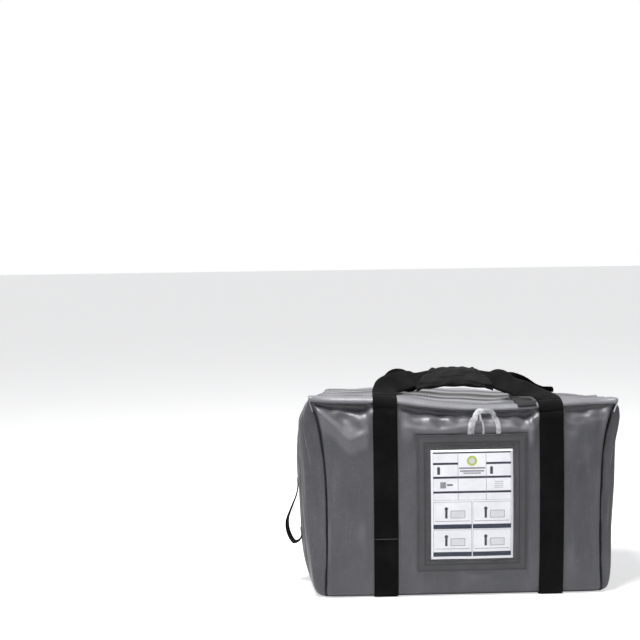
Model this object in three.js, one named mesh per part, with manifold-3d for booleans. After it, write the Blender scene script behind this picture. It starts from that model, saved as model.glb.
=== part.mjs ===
// Liferaft valise: a soft bag packed tight and sewn shut, with a top closing flap, two lengths of
// webbing that run round it and rise as handles into one wrapped grip, a label pocket with a clear
// window on the front, a clear tie loop over the pocket and a webbing loop on the left end.
// Millimetres. +X runs to the right of the front panel, -Y to the front and +Z up. The origin is
// at the middle of the base.

import * as THREE from 'three';
import { mergeVertices } from 'three/addons/utils/BufferGeometryUtils.js';
import Module from 'manifold-3d';

const wasm = await Module();
wasm.setup();

// The packed bag
const bagHeight = 407; // base to top panel, at the corners
const topTilt = 7.5; // the top rises this much to the left and drops as much to the right
const baseHalfLength = 299; // at the front and rear seams
const topHalfLength = 316;
const waist = 5; // how far the seams draw in at half height
const baseHalfDepth = 122;
const topHalfDepth = 128;
const belly = 4; // how far front and rear seams spread at half height
const leftBulge = 50; // end panels, in their middle
const rightBulge = 30;
const frontBulge = 10;
const rearBulge = 14;
const cornerSharpness = 22; // power of the rounded plan outline
const baseEdgeRadius = 15;
const topEdgeRadius = 16;
const topSag = 16; // front of the top panel, below its corners
const sagMiddle = 0.1; // where it sags most and how far that reaches, as shares of the half length
const sagLeft = 0.6;
const sagRight = 0.75;
const rearShift = 32; // the top's rear edge sits this much further right than its front edge
const rearDrop = 7; // and this much lower, in its middle
const rearTilt = 6; // with this much more to the right
const rearRound = 11; // and towards its corners
const earReach = 6; // pinched front corners of the top, sideways
const earLift = 5; // and upwards
const creaseDepth = 6; // front panel drawn in under the flap
const creaseDrop = 13; // middle of that crease, below the top
const creaseReach = 8;

// Cloth, webbing and film
const seatGap = 0.3; // between pieces that are sewn together
const flapGap = 0.7; // under the closing flap
const bendGap = 0.9; // under webbing that turns over an edge
const flapThickness = 5;
const hemThickness = 1.5; // what the turned front hem adds to the flap
const cornerSlack = 1.4; // how far the flap stands off the pinched corners
const flapOverhang = 1; // rows of the bag's surface that the flap covers past the top's edges
const webbingWidth = 50;
const webbingThickness = 2.2;
const webbingSpacing = 343; // between the middles of the two runs
const webbingShift = 9; // both runs sit this far right of the bag's middle
const seamWidth = 5;
const seamThickness = 1.6;

// Wrapped grip
const gripLeft = -86;
const gripRight = 79;
const gripTopLeft = -45;
const gripTopRight = 41;
const gripEndRise = 30; // middle of the webbing over the bag, at the grip's ends
const gripCrown = 9; // and how much higher it is at the grip's middle
const gripLean = THREE.MathUtils.degToRad(55); // webbing in the grip, from upright
const gripWall = 4;
const layerGap = 1.8; // between the two layers of webbing in the grip
const slotPlay = 1.2; // and round them
const seatRise = 2.0; // the handles start to lift where their laid part ends

// Label pocket on the front panel
const pocketWidth = 228;
const pocketBottom = 55; // above the base
const pocketDrop = 66; // and its top below the bag's top
const pocketOffset = 15; // from the middle of the bag
const pocketThickness = 1.5;
const pocketBorder = 19;
const borderThickness = 1.5;
const cardMargin = 10; // bare cloth round the card, inside the border
const cardThickness = 0.8;
const windowThickness = 0.4;

// Clear tie loop, closing tab and end loop
const tieWidth = 11;
const tieThickness = 1.2;
const tieSpan = 59;
const tieOver = 6; // above the front edge of the bag's top
const tieOffset = 26; // from the middle of the pocket
const tabWidth = 39;
const tabThickness = 2;
const loopWidth = 28;
const loopThickness = 2.6;
const loopTop = 206;
const loopBottom = 94;
const loopReach = 32;
const loopTwist = 0.25; // sideways share of the direction across it, at its middle

// Surface rows of the bag, which everything laid on it shares
const lengthRows = 20;
const sideRows = 16;
const rowStep = 1 / sideRows;

const colours = {
  cloth: { color: 0x5c5d63, roughness: 0.6, metalness: 0 },
  flap: { color: 0x77787d, roughness: 0.65, metalness: 0 },
  webbing: { color: 0x141416, roughness: 0.85, metalness: 0 },
  border: { color: 0x3a3b3e, roughness: 0.5, metalness: 0 },
  card: { color: 0xe6e7ea, roughness: 0.55, metalness: 0 },
  film: { color: 0xd5d8dc, roughness: 0.2, metalness: 0 },
};

const valise = new THREE.Group();

function addPiece(name, geometry, colour) {
  const mesh = new THREE.Mesh(geometry, new THREE.MeshStandardMaterial(colours[colour]));
  mesh.name = name;
  valise.add(mesh);
}

function closedBox(...sizesAndSteps) {
  const box = new THREE.BoxGeometry(...sizesAndSteps);
  box.deleteAttribute('normal');
  box.deleteAttribute('uv');
  return mergeVertices(box, 1e-5);
}

// A box whose surface grid is moved point by point onto a form; u, v and w run from -1 to 1
function shapedBox(stepsU, stepsV, stepsW, place) {
  const geometry = closedBox(2, 2, 2, stepsU, stepsV, stepsW);
  const corners = geometry.getAttribute('position');
  for (let i = 0; i < corners.count; i += 1) {
    const moved = place(corners.getX(i), corners.getY(i), corners.getZ(i));
    corners.setXYZ(i, moved.x, moved.y, moved.z);
  }
  geometry.computeVertexNormals();
  return geometry;
}

function toSolid(geometry) {
  return new wasm.Manifold(new wasm.Mesh({
    numProp: 3,
    vertProperties: new Float32Array(geometry.getAttribute('position').array),
    triVerts: new Uint32Array(geometry.index.array),
  }));
}

function cutAway(geometry, tools) {
  let solid = toSolid(geometry);
  for (const tool of tools) solid = solid.subtract(toSolid(tool));
  const mesh = solid.getMesh();
  const cut = new THREE.BufferGeometry();
  cut.setAttribute('position', new THREE.BufferAttribute(new Float32Array(mesh.vertProperties), 3));
  cut.setIndex(new THREE.BufferAttribute(new Uint32Array(mesh.triVerts), 1));
  cut.computeVertexNormals();
  return cut;
}

const crowded = (t) => Math.sin((Math.PI / 2) * t); // rows lie closer towards the edges
const mix = (a, b, t) => a + (b - a) * t;
const smooth = (t) => THREE.MathUtils.smoothstep(t, 0, 1);

function edgeInset(distance, radius) {
  const short = Math.max(0, radius - distance);
  return radius - Math.sqrt(radius * radius - short * short);
}

// The bag's surface, from a point of a cube's surface
function skin(u, v, w) {
  const [a, b] = [crowded(u), crowded(v)];
  const level = (crowded(w) + 1) / 2;
  const arch = Math.max(0, Math.sin(Math.PI * level));
  const reach = Math.max(Math.abs(a), Math.abs(b), 1e-9);
  const spill = Math.abs(a / reach) ** cornerSharpness + Math.abs(b / reach) ** cornerSharpness;
  const rounding = Math.max(1, spill) ** (-1 / cornerSharpness);
  const pinch = Math.abs(a) ** 16 * level ** 12 * Math.abs(b) ** 8;
  const ear = b < 0 ? pinch : 0;
  const plan = mix(rounding, 1, pinch);
  const inset = edgeInset(bagHeight * level, baseEdgeRadius)
    + edgeInset(bagHeight * (1 - level), topEdgeRadius) * (1 - 0.5 * pinch - 0.4 * ear);
  const halfLength = mix(baseHalfLength, topHalfLength, level ** 4) - waist * arch;
  const halfDepth = mix(baseHalfDepth, topHalfDepth, level) + belly * arch;

  let x = a * plan * (halfLength - inset);
  let y = b * plan * (halfDepth - inset);
  let z = bagHeight * level;
  const endFill = Math.max(0, 1 - b * b) ** 0.35 * arch ** 0.35 * mix(0.75, 1, level);
  x += (a < 0 ? -leftBulge : rightBulge) * endFill * Math.abs(a) ** 6;
  const fill = Math.sqrt(Math.max(0, 1 - a * a)) * arch ** 0.7 * Math.abs(b) ** 6;
  y += b < 0 ? -frontBulge * fill : rearBulge * fill;

  const underFlap = Math.exp(-(((bagHeight * (1 - level) - creaseDrop) / creaseReach) ** 2));
  if (b < 0) y += creaseDepth * underFlap * Math.abs(b) ** 6 * (1 - a ** 8);
  const offSag = (a - sagMiddle) / (a < sagMiddle ? sagLeft : sagRight);
  const sag = Math.max(0, 1 - offSag * offSag) ** 1.5 * level ** 8;
  const toRear = (1 + b) / 2;
  z -= topSag * sag * (1 - toRear) + topTilt * a * level ** 4;
  z -= (rearDrop + rearTilt * a + rearRound * a * a) * toRear * level ** 8;
  x += rearShift * toRear * level ** 4;
  x += Math.sign(a) * earReach * ear;
  z += earLift * ear;
  return new THREE.Vector3(x, y, z);
}

// The bag's section as one run: 0 to 1 forward over the top, 1 to 2 down the front,
// 2 to 3 back under the base and 3 to 4 up the rear
function ring(u, run) {
  const turn = THREE.MathUtils.euclideanModulo(run, 4);
  const side = Math.floor(turn);
  const along = 2 * (turn - side) - 1;
  if (side === 0) return skin(u, -along, 1);
  if (side === 1) return skin(u, -1, -along);
  if (side === 2) return skin(u, along, -1);
  return skin(u, 1, along);
}

function ringNormal(u, run) {
  const small = 0.01;
  const along = ring(u, run + small).sub(ring(u, run - small));
  const across = ring(Math.min(1, u + small), run).sub(ring(Math.max(-1, u - small), run));
  return along.cross(across).normalize();
}

// How far the skew of the bag's top carries a strip to the right
const drift = (run) => ring(0, run).x;

const lifted = (u, run, lift) => ring(u, run).addScaledVector(ringNormal(u, run), lift);

// The cube row whose surface point has the given x
function rowAt(x, run) {
  let share = x / baseHalfLength;
  for (let i = 0; i < 12; i += 1) {
    const found = ring((2 / Math.PI) * Math.asin(THREE.MathUtils.clamp(share, -1, 1)), run);
    share += (x - found.x) / baseHalfLength;
  }
  return (2 / Math.PI) * Math.asin(THREE.MathUtils.clamp(share, -1, 1));
}

// The run on the front panel that reaches height z
function frontRun(x, z) {
  let share = 1 - (2 * z) / bagHeight;
  for (let i = 0; i < 12; i += 1) {
    const run = 1.5 + Math.asin(THREE.MathUtils.clamp(share, -1, 1)) / Math.PI;
    share += (2 * (ring(rowAt(x, run), run).z - z)) / bagHeight;
  }
  return 1.5 + Math.asin(THREE.MathUtils.clamp(share, -1, 1)) / Math.PI;
}

function onFront(x, z, lift) {
  const run = frontRun(x, z);
  return lifted(rowAt(x, run), run, lift);
}

// A flat piece on the front panel, between two heights
function frontPatch(middle, width, bottom, height, inner, outer, steps) {
  return shapedBox(steps[0], 1, steps[1], (u, v, w) => onFront(
    middle + (u * width) / 2,
    bottom + ((w + 1) * height) / 2,
    mix(outer, inner, (v + 1) / 2),
  ));
}

// A strip laid on the bag, from one run to another along the shared rows
function laidStrip(middle, width, startRun, endRun, liftAt) {
  const rows = Math.round((endRun - startRun) / rowStep);
  return shapedBox(2, rows, 1, (u, v, w) => {
    const run = mix(endRun, startRun, (v + 1) / 2);
    const [inner, outer] = liftAt(run);
    return lifted(rowAt(middle + (u * width) / 2, run), run, mix(inner, outer, (w + 1) / 2));
  });
}

// Webbing that runs free, from its middle points and the directions across it
function ribbon(middles, acrosses, width, thickness) {
  const last = middles.length - 1;
  return shapedBox(2, last, 1, (u, v, w) => {
    const i = Math.round(((1 - v) / 2) * last);
    const along = middles[Math.min(last, i + 1)].clone().sub(middles[Math.max(0, i - 1)]).normalize();
    const across = acrosses[i].clone();
    across.addScaledVector(along, -across.dot(along)).normalize();
    const outward = along.clone().cross(across);
    return middles[i].clone()
      .addScaledVector(across, (u * width) / 2)
      .addScaledVector(outward, (w * thickness) / 2);
  });
}

function smoothed(points, steps) {
  return new THREE.CatmullRomCurve3(points, false, 'centripetal').getPoints(steps);
}

// Directions that follow the middle points one key to the next
function followed(keys, directions, steps) {
  const curve = new THREE.CatmullRomCurve3(keys, false, 'centripetal');
  const turning = new THREE.CatmullRomCurve3(directions, false, 'catmullrom', 0.3);
  return {
    middles: Array.from({ length: steps + 1 }, (_, i) => curve.getPoint(i / steps)),
    acrosses: Array.from({ length: steps + 1 }, (_, i) => turning.getPoint(i / steps)),
  };
}

const leftMiddle = webbingShift - webbingSpacing / 2;
const rightMiddle = webbingShift + webbingSpacing / 2;
const flapLift = flapGap + flapThickness;

// Body: the packed bag, with channels under its base for the webbing
const channelDepth = webbingThickness + 2 * bendGap;
const channelWidth = webbingWidth + 4 * seatGap;
const channels = [leftMiddle, rightMiddle].map(
  (middle) => closedBox(channelWidth, 4 * baseHalfDepth, 2 * channelDepth).translate(middle, 0, 0),
);
addPiece('valise_body', cutAway(shapedBox(lengthRows, sideRows, sideRows, skin), channels), 'cloth');

// Closing flap: over the whole top and a little way down the front and the rear
const flapEdge = flapOverhang * rowStep;
addPiece('top_flap', shapedBox(lengthRows, sideRows + 2 * flapOverhang, 1, (u, v, w) => {
  const run = mix(1 + flapEdge, -flapEdge, (v + 1) / 2);
  const hem = hemThickness * smooth((run - 0.9) / 0.1);
  const slack = cornerSlack * Math.abs(u) ** 6;
  return lifted(u, run, mix(flapGap, flapLift + hem, (w + 1) / 2) + slack);
}), 'flap');

// Webbing round the bag on each side, from under the front handle to under the rear one
const webbingTop = 5 * rowStep;
const floorLevel = webbingThickness;
for (const [name, middle] of [['webbing_left', leftMiddle], ['webbing_right', rightMiddle]]) {
  const rows = Math.round((2 - 2 * webbingTop + 1) / rowStep);
  addPiece(name, shapedBox(2, rows, 1, (u, v, w) => {
    const run = mix(4 - webbingTop, 1 + webbingTop, (v + 1) / 2);
    const lift = mix(bendGap, bendGap + webbingThickness, (w + 1) / 2);
    const place = lifted(rowAt(middle + drift(run) + (u * webbingWidth) / 2, run), run, lift);
    place.z = Math.max(place.z, mix(floorLevel, 0, (w + 1) / 2));
    return place;
  }), 'webbing');
}

// Handles: each leaves the panel, passes over the flap and rises into the grip
const gripAcross = new THREE.Vector3(0, Math.sin(gripLean), Math.cos(gripLean));
const gripOutward = new THREE.Vector3(0, -Math.cos(gripLean), Math.sin(gripLean));
const layerOffset = (webbingThickness + layerGap) / 2;
function gripMiddle(x) {
  const share = THREE.MathUtils.clamp((x - gripLeft) / (gripRight - gripLeft), 0, 1);
  return new THREE.Vector3(x, 0, bagHeight + gripEndRise + gripCrown * Math.sin(Math.PI * share));
}

const overFlap = flapLift + hemThickness + bendGap + webbingThickness / 2;
const onPanel = bendGap + webbingThickness / 2;
function handleSeat(middle, side) {
  const joinRow = side < 0 ? 4.95 : 4.86; // the rear join lies aslant, so it needs more room
  const rows = [joinRow, 4, 3, 2, 1, 0, -1, -2];
  return rows.map((row) => {
    const run = side < 0 ? 1 + row * rowStep : -row * rowStep;
    const lift = mix(overFlap, onPanel, smooth((row - flapOverhang) / 2)) + (row < -1 ? seatRise : 0);
    const edges = [-0.5, 0.5].map((share) => (
      lifted(rowAt(middle + drift(run) + share * webbingWidth, run), run, lift)
    ));
    return {
      middle: edges[0].clone().lerp(edges[1], 0.5),
      across: edges[1].clone().sub(edges[0]).normalize(),
    };
  });
}

function handle(side) {
  const out = (x, y, z) => new THREE.Vector3(x, side * y, bagHeight + z);
  const turn = (x, y, z) => new THREE.Vector3(x, y, z).multiplyScalar(-side);
  const layer = (x, apart) => gripMiddle(x).addScaledVector(gripOutward, -side * apart * layerOffset);
  const inGrip = turn(gripAcross.x, gripAcross.y, gripAcross.z);
  const leftSeat = handleSeat(leftMiddle, side);
  const rightSeat = handleSeat(rightMiddle, side).reverse();
  const leftLeg = side < 0 ? [
    [out(leftMiddle + 3, 74, 15), turn(-1, 0, 0.1)],
    [out(leftMiddle + 12, 44, 26), turn(-0.85, 0.2, 0.45)],
    [out(leftMiddle + 34, 23, 31), turn(-0.4, 0.5, 0.7)],
  ] : [
    [out(leftMiddle + 27, 74, 11), turn(-1, 0, 0.1)],
    [out(leftMiddle + 31, 46, 20), turn(-0.85, -0.08, 0.45)],
    [out(leftMiddle + 40, 23, 31), turn(-0.4, 0.4, 0.7)],
  ];
  const rightLeg = side < 0 ? [
    [out(gripRight + 28, 25, 26), turn(0.06, 0.75, 0.6)],
    [out(rightMiddle - 52, 37, 17), turn(0.25, 0.7, 0.6)],
    [out(rightMiddle - 30, 58, 12), turn(0.65, 0.5, 0.3)],
    [out(rightMiddle - 9, 82, 7), turn(0.95, 0.2, 0.06)],
  ] : [
    [out(gripRight + 28, 20, 20), turn(0.3, 0.7, 0.45)],
    [out(rightMiddle - 45, 37, 17), turn(0.8, 0.2, 0.35)],
    [out(rightMiddle - 16, 58, 13), turn(0.95, -0.05, 0.15)],
    [out(rightMiddle + 24, 86, 10), turn(1, 0, -0.1)],
  ];
  const route = [
    [leftSeat.at(-1).middle, leftSeat.at(-1).across.clone().multiplyScalar(side)],
    ...leftLeg,
    [layer(gripLeft - 9, 3.3), inGrip],
    ...[[0, 1.3], [0.25, 1.1], [0.5, 1.1], [0.75, 1.1], [1, 1.3]].map(([share, apart]) => (
      [layer(mix(gripLeft, gripRight, share), apart), inGrip]
    )),
    [layer(gripRight + 10, 3.3), inGrip],
    ...rightLeg,
    [rightSeat[0].middle, rightSeat[0].across.clone().multiplyScalar(-side)],
  ];
  const free = followed(route.map((key) => key[0]), route.map((key) => key[1]), 44);
  const middles = [
    ...leftSeat.slice(0, -1).map((seat) => seat.middle),
    ...free.middles,
    ...rightSeat.slice(1).map((seat) => seat.middle),
  ];
  const acrosses = [
    ...leftSeat.slice(0, -1).map((seat) => seat.across.clone().multiplyScalar(side)),
    ...free.acrosses,
    ...rightSeat.slice(1).map((seat) => seat.across.clone().multiplyScalar(-side)),
  ];
  return ribbon(middles, acrosses, webbingWidth, webbingThickness);
}
addPiece('handle_front', handle(-1), 'webbing');
addPiece('handle_rear', handle(1), 'webbing');

// Grip: one patch wrapped round both handles, with slanting ends and a slot for the webbing
const slotHalfWidth = webbingWidth / 2 + slotPlay;
const slotHalfThickness = layerOffset + webbingThickness / 2 + slotPlay;
function gripForm(halfWidth, halfThickness, startLow, startHigh, endLow, endHigh) {
  return shapedBox(14, 4, 6, (u, v, w) => {
    const rounded = Math.sqrt(1 - 0.45 * w * w);
    const height = (w + 1) / 2;
    const start = mix(startLow, startHigh, height ** 1.4);
    const end = mix(endLow, endHigh, height ** 1.4);
    const middle = gripMiddle(mix(start, end, (u + 1) / 2));
    return middle
      .addScaledVector(gripAcross, w * halfWidth)
      .addScaledVector(gripOutward, -v * halfThickness * rounded);
  });
}
const gripOuter = gripForm(
  slotHalfWidth + gripWall,
  slotHalfThickness + 1.6 * gripWall,
  gripLeft,
  gripTopLeft,
  gripRight,
  gripTopRight,
);
const beyond = 20; // the slot's tool runs past both ends of the grip
const gripSlot = shapedBox(18, 1, 1, (u, v, w) => {
  const middle = gripMiddle(mix(gripLeft - beyond, gripRight + beyond, (u + 1) / 2));
  return middle
    .addScaledVector(gripAcross, w * slotHalfWidth)
    .addScaledVector(gripOutward, -v * slotHalfThickness);
});
addPiece('handle_grip', cutAway(gripOuter, [gripSlot]), 'webbing');

// Closing tab: over the flap's front hem beside the right run of webbing
const tabMiddle = rightMiddle - webbingWidth / 2 - 2 * seatGap - tabWidth / 2 - 3;
const tabLift = flapLift + hemThickness + seatGap;
addPiece('closing_tab', laidStrip(
  tabMiddle,
  tabWidth,
  11 * rowStep,
  1 + flapEdge,
  () => [tabLift, tabLift + tabThickness],
), 'webbing');

// Label pocket: backing panel, card, clear window and a border sewn round them
const pocketMiddle = pocketOffset;
const pocketHeight = bagHeight - pocketDrop - pocketBottom;
const panelTop = seatGap + pocketThickness;
addPiece('pocket_panel', frontPatch(
  pocketMiddle, pocketWidth, pocketBottom, pocketHeight, seatGap, panelTop, [8, 8],
), 'border');
const borderInner = panelTop + seatGap;
const borderOuter = borderInner + borderThickness;
const border = frontPatch(
  pocketMiddle, pocketWidth, pocketBottom, pocketHeight, borderInner, borderOuter, [8, 8],
);
const openWidth = pocketWidth - 2 * pocketBorder;
const openHeight = pocketHeight - 2 * pocketBorder;
const openBottom = pocketBottom + pocketBorder;
const borderOpening = frontPatch(
  pocketMiddle, openWidth, openBottom, openHeight, -borderOuter, 4 * borderOuter, [8, 8],
);
addPiece('pocket_border', cutAway(border, [borderOpening]), 'border');
const cardWidth = openWidth - 2 * cardMargin;
const cardHeight = openHeight - 2 * cardMargin;
const cardBottom = pocketBottom + (pocketHeight - cardHeight) / 2 - 2;
addPiece('label_card', frontPatch(
  pocketMiddle, cardWidth, cardBottom, cardHeight, borderInner, borderInner + cardThickness, [6, 6],
), 'card');
const windowInner = borderInner + cardThickness + seatGap;
addPiece('pocket_window', frontPatch(
  pocketMiddle,
  openWidth - 2 * seatGap,
  openBottom + seatGap,
  openHeight - 2 * seatGap,
  windowInner,
  windowInner + windowThickness,
  [8, 8],
), 'film');

// Clear tie loop: a narrow arch of film from the pocket's top up over the flap's hem
const tieBottom = pocketBottom + pocketHeight + 1;
function tieLoop() {
  const steps = 22;
  const tieMiddle = pocketMiddle + tieOffset;
  const tieRise = ring(rowAt(tieMiddle, 1), 1).z + tieOver - tieBottom;
  const hemFront = -(topHalfDepth + flapLift + hemThickness + 3);
  const middles = [];
  for (let i = 0; i <= steps; i += 1) {
    const angle = Math.PI * (i / steps);
    const rise = Math.sin(angle) ** 0.8;
    const x = tieMiddle - (tieSpan / 2) * Math.cos(angle);
    const place = onFront(x, tieBottom + tieRise * rise, 0);
    place.y -= seatGap + tieThickness;
    place.y = Math.min(place.y, mix(place.y, hemFront, smooth(rise)));
    middles.push(place);
  }
  const acrosses = middles.map((_, i) => {
    const along = middles[Math.min(steps, i + 1)].clone().sub(middles[Math.max(0, i - 1)]);
    return new THREE.Vector3(-along.z, 0, along.x).normalize();
  });
  return ribbon(middles, acrosses, tieWidth, tieThickness);
}
addPiece('tie_loop', tieLoop(), 'film');

// Bound seams: a narrow standing strip up each corner of the bag
function cornerSeam(endSign, sideSign) {
  const rows = sideRows - 6;
  const middles = [];
  const acrosses = [];
  for (let i = 0; i <= rows; i += 1) {
    const w = -1 + 2 * rowStep * (i + 3);
    const corner = skin(endSign, sideSign, w);
    const outward = new THREE.Vector3(endSign * 0.6, sideSign * 0.8, 0);
    middles.push(corner.addScaledVector(outward, seamWidth / 2 + 1.2));
    acrosses.push(outward);
  }
  return ribbon(middles, acrosses, seamWidth, seamThickness);
}
addPiece('seam_front_left', cornerSeam(-1, -1), 'border');
addPiece('seam_front_right', cornerSeam(1, -1), 'border');
addPiece('seam_rear_left', cornerSeam(-1, 1), 'border');
addPiece('seam_rear_right', cornerSeam(1, 1), 'border');

// End loop: webbing sewn to the left end at both ends and hanging out between
function endRow(z) {
  let w = 0;
  for (let i = 0; i < 12; i += 1) w += (z - skin(-1, 0, w).z) / (0.8 * bagHeight);
  return w;
}
function offEnd(z, away) {
  return skin(-1, 0, endRow(z)).add(new THREE.Vector3(-away, 0, 0));
}
function endLoop() {
  const flat = seatGap + loopThickness / 2;
  const span = loopTop - loopBottom;
  const keys = [
    offEnd(loopTop + 24, flat + 0.6),
    offEnd(loopTop + 8, flat + 0.6),
    offEnd(loopTop - 0.1 * span, flat + 4),
    offEnd(loopTop - 0.32 * span, 0.6 * loopReach),
    offEnd(loopTop - 0.6 * span, loopReach),
    offEnd(loopBottom + 0.16 * span, 0.98 * loopReach),
    offEnd(loopBottom - 2, 0.66 * loopReach),
    offEnd(loopBottom + 1, flat + 8),
    offEnd(loopBottom + 11, flat + 1.2),
    offEnd(loopBottom + 27, flat + 0.6),
  ];
  const last = 36;
  const middles = smoothed(keys, last);
  const acrosses = middles.map((_, i) => (
    new THREE.Vector3(loopTwist * Math.sin((Math.PI * i) / last) ** 2, 1, 0)
  ));
  return ribbon(middles, acrosses, loopWidth, loopThickness);
}
addPiece('end_loop', endLoop(), 'webbing');

export default valise;
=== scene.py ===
# %% [markdown]
# # A liferaft valise, step by step
# The real object is a soft grey bag, packed tight with a folded raft and sewn shut. It has a thick
# closing flap, two lengths of black webbing that run round it and rise into one wrapped grip, and a
# label pocket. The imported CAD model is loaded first. It fixes where everything is, in metres.

# %% Load the frame
import math

import bmesh
import bpy
import numpy as np
from mathutils import Matrix, Vector


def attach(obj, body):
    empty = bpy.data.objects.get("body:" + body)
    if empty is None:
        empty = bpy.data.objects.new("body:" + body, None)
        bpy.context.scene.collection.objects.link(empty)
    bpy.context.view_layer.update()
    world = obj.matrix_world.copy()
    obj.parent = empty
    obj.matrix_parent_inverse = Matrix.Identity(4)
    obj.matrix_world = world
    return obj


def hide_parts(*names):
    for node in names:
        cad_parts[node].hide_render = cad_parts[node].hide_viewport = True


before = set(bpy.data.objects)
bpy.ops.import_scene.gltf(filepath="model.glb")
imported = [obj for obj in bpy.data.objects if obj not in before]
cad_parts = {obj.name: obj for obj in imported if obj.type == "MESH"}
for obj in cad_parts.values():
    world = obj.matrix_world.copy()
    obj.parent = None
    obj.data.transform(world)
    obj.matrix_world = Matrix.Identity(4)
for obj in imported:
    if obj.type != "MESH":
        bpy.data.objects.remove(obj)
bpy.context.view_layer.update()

# %% [markdown]
# The camera comes before the pieces, so that each one can be looked at as soon as it is made. Its
# place and angles were found from the corners of the bag in the photograph: it stands a little to
# the left of the bag and looks slightly down.

# %% Camera
camera_place = Vector((-0.356, -2.572, 0.7375))
turn_right, look_down, lean = (math.radians(angle) for angle in (1.481, 3.664, -0.813))
forward = Vector((
    math.sin(turn_right) * math.cos(look_down),
    math.cos(turn_right) * math.cos(look_down),
    -math.sin(look_down),
))
level_right = Vector((math.cos(turn_right), -math.sin(turn_right), 0))
level_up = level_right.cross(forward)
camera_right = level_right * math.cos(lean) + level_up * math.sin(lean)
camera_up = level_up * math.cos(lean) - level_right * math.sin(lean)
bpy.ops.object.camera_add()
camera = bpy.context.object
camera.name = "view_camera"
camera.data.lens = 67.5
camera.data.sensor_width = 36
axes = Matrix((camera_right, camera_up, -forward)).transposed()
camera.matrix_world = Matrix.Translation(camera_place) @ axes.to_4x4()
bpy.context.scene.camera = camera
print("camera at", tuple(camera_place))

# %% [markdown]
# Every piece starts as a cube. In edit mode the edges that lie along one axis are picked and
# subdivided, then those along the next, which gives as many rows as that direction needs. One
# subdivision makes at most 100 cuts, so a long row is divided in two or more goes. An operator
# acts on all that is selected, so each helper first deselects everything.

# %% A cube with rows
def start_clean():
    if bpy.context.mode != "OBJECT":
        bpy.ops.object.mode_set(mode="OBJECT")
    bpy.ops.object.select_all(action="DESELECT")


def goes_for(rows):
    if rows <= 100:
        return [rows]
    first = max(share for share in range(2, 101) if rows % share == 0)
    return [first, *goes_for(rows // first)]


def rowed_cube(name, rows):
    start_clean()
    bpy.ops.mesh.primitive_cube_add(size=2)
    piece = bpy.context.object
    piece.name = name
    piece.data.name = name
    bpy.ops.object.mode_set(mode="EDIT")
    bpy.ops.mesh.select_mode(type="EDGE")
    goes = [(axis, go) for axis in range(3) for go in goes_for(rows[axis]) if go > 1]
    for axis, go in goes:
        bpy.ops.mesh.select_all(action="DESELECT")
        form = bmesh.from_edit_mesh(piece.data)
        for edge in form.edges:
            span = edge.verts[1].co - edge.verts[0].co
            if abs(span[axis]) > 0.9 * span.length:
                edge.select_set(True)
        bmesh.update_edit_mesh(piece.data)
        bpy.ops.mesh.subdivide(number_cuts=go - 1, smoothness=0)
    bpy.ops.object.mode_set(mode="OBJECT")
    return piece


def points_of(piece):
    flat = np.empty(3 * len(piece.data.vertices))
    piece.data.vertices.foreach_get("co", flat)
    return flat.reshape(-1, 3)


def set_points(piece, points):
    piece.data.vertices.foreach_set("co", np.ascontiguousarray(points, dtype=float).ravel())
    piece.data.update()


def normals_of(piece):
    flat = np.empty(3 * len(piece.data.vertices))
    piece.data.vertices.foreach_get("normal", flat)
    return flat.reshape(-1, 3)


def lay_pattern(piece, across, along):
    """Gives the piece a UV map in metres, so that weave and stitches follow its surface."""
    corners = np.empty(len(piece.data.loops), dtype=int)
    piece.data.loops.foreach_get("vertex_index", corners)
    layer = piece.data.uv_layers.active or piece.data.uv_layers.new(name="cloth")
    layer.data.foreach_set("uv", np.stack([across[corners], along[corners]], axis=1).ravel())


def outward(piece):
    start_clean()
    bpy.context.view_layer.objects.active = piece
    piece.select_set(True)
    bpy.ops.object.mode_set(mode="EDIT")
    bpy.ops.mesh.select_all(action="SELECT")
    bpy.ops.mesh.normals_make_consistent(inside=False)
    bpy.ops.object.mode_set(mode="OBJECT")
    bpy.ops.object.shade_smooth()


# %% [markdown]
# The bag's form is one function from a cube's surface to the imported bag. It is the same form that
# the CAD model has, with the same measures: rounded upright corners, ends that bulge, a top that
# sags and front corners that are pinched into ears. What is laid on the bag uses it too.

# %% The bag's form
bag_height = 0.407
base_half_length, top_half_length = 0.299, 0.316
base_half_depth, top_half_depth = 0.122, 0.128
waist, belly = 0.005, 0.004
left_bulge, right_bulge, front_bulge, rear_bulge = 0.050, 0.030, 0.010, 0.014
corner_sharpness = 22
base_edge_radius, top_edge_radius = 0.015, 0.016
top_sag, top_tilt = 0.016, 0.0075
sag_middle, sag_left, sag_right = 0.1, 0.6, 0.75
rear_shift, rear_drop, rear_tilt, rear_round = 0.032, 0.007, 0.006, 0.011
ear_reach, ear_lift = 0.006, 0.005
crease_depth, crease_drop, crease_reach = 0.006, 0.013, 0.008


def mix(a, b, t):
    return a + (b - a) * t


def smooth(t):
    t = np.clip(t, 0, 1)
    return t * t * (3 - 2 * t)


def edge_inset(distance, radius):
    short = np.maximum(0, radius - distance)
    return radius - np.sqrt(radius * radius - short * short)


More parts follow.
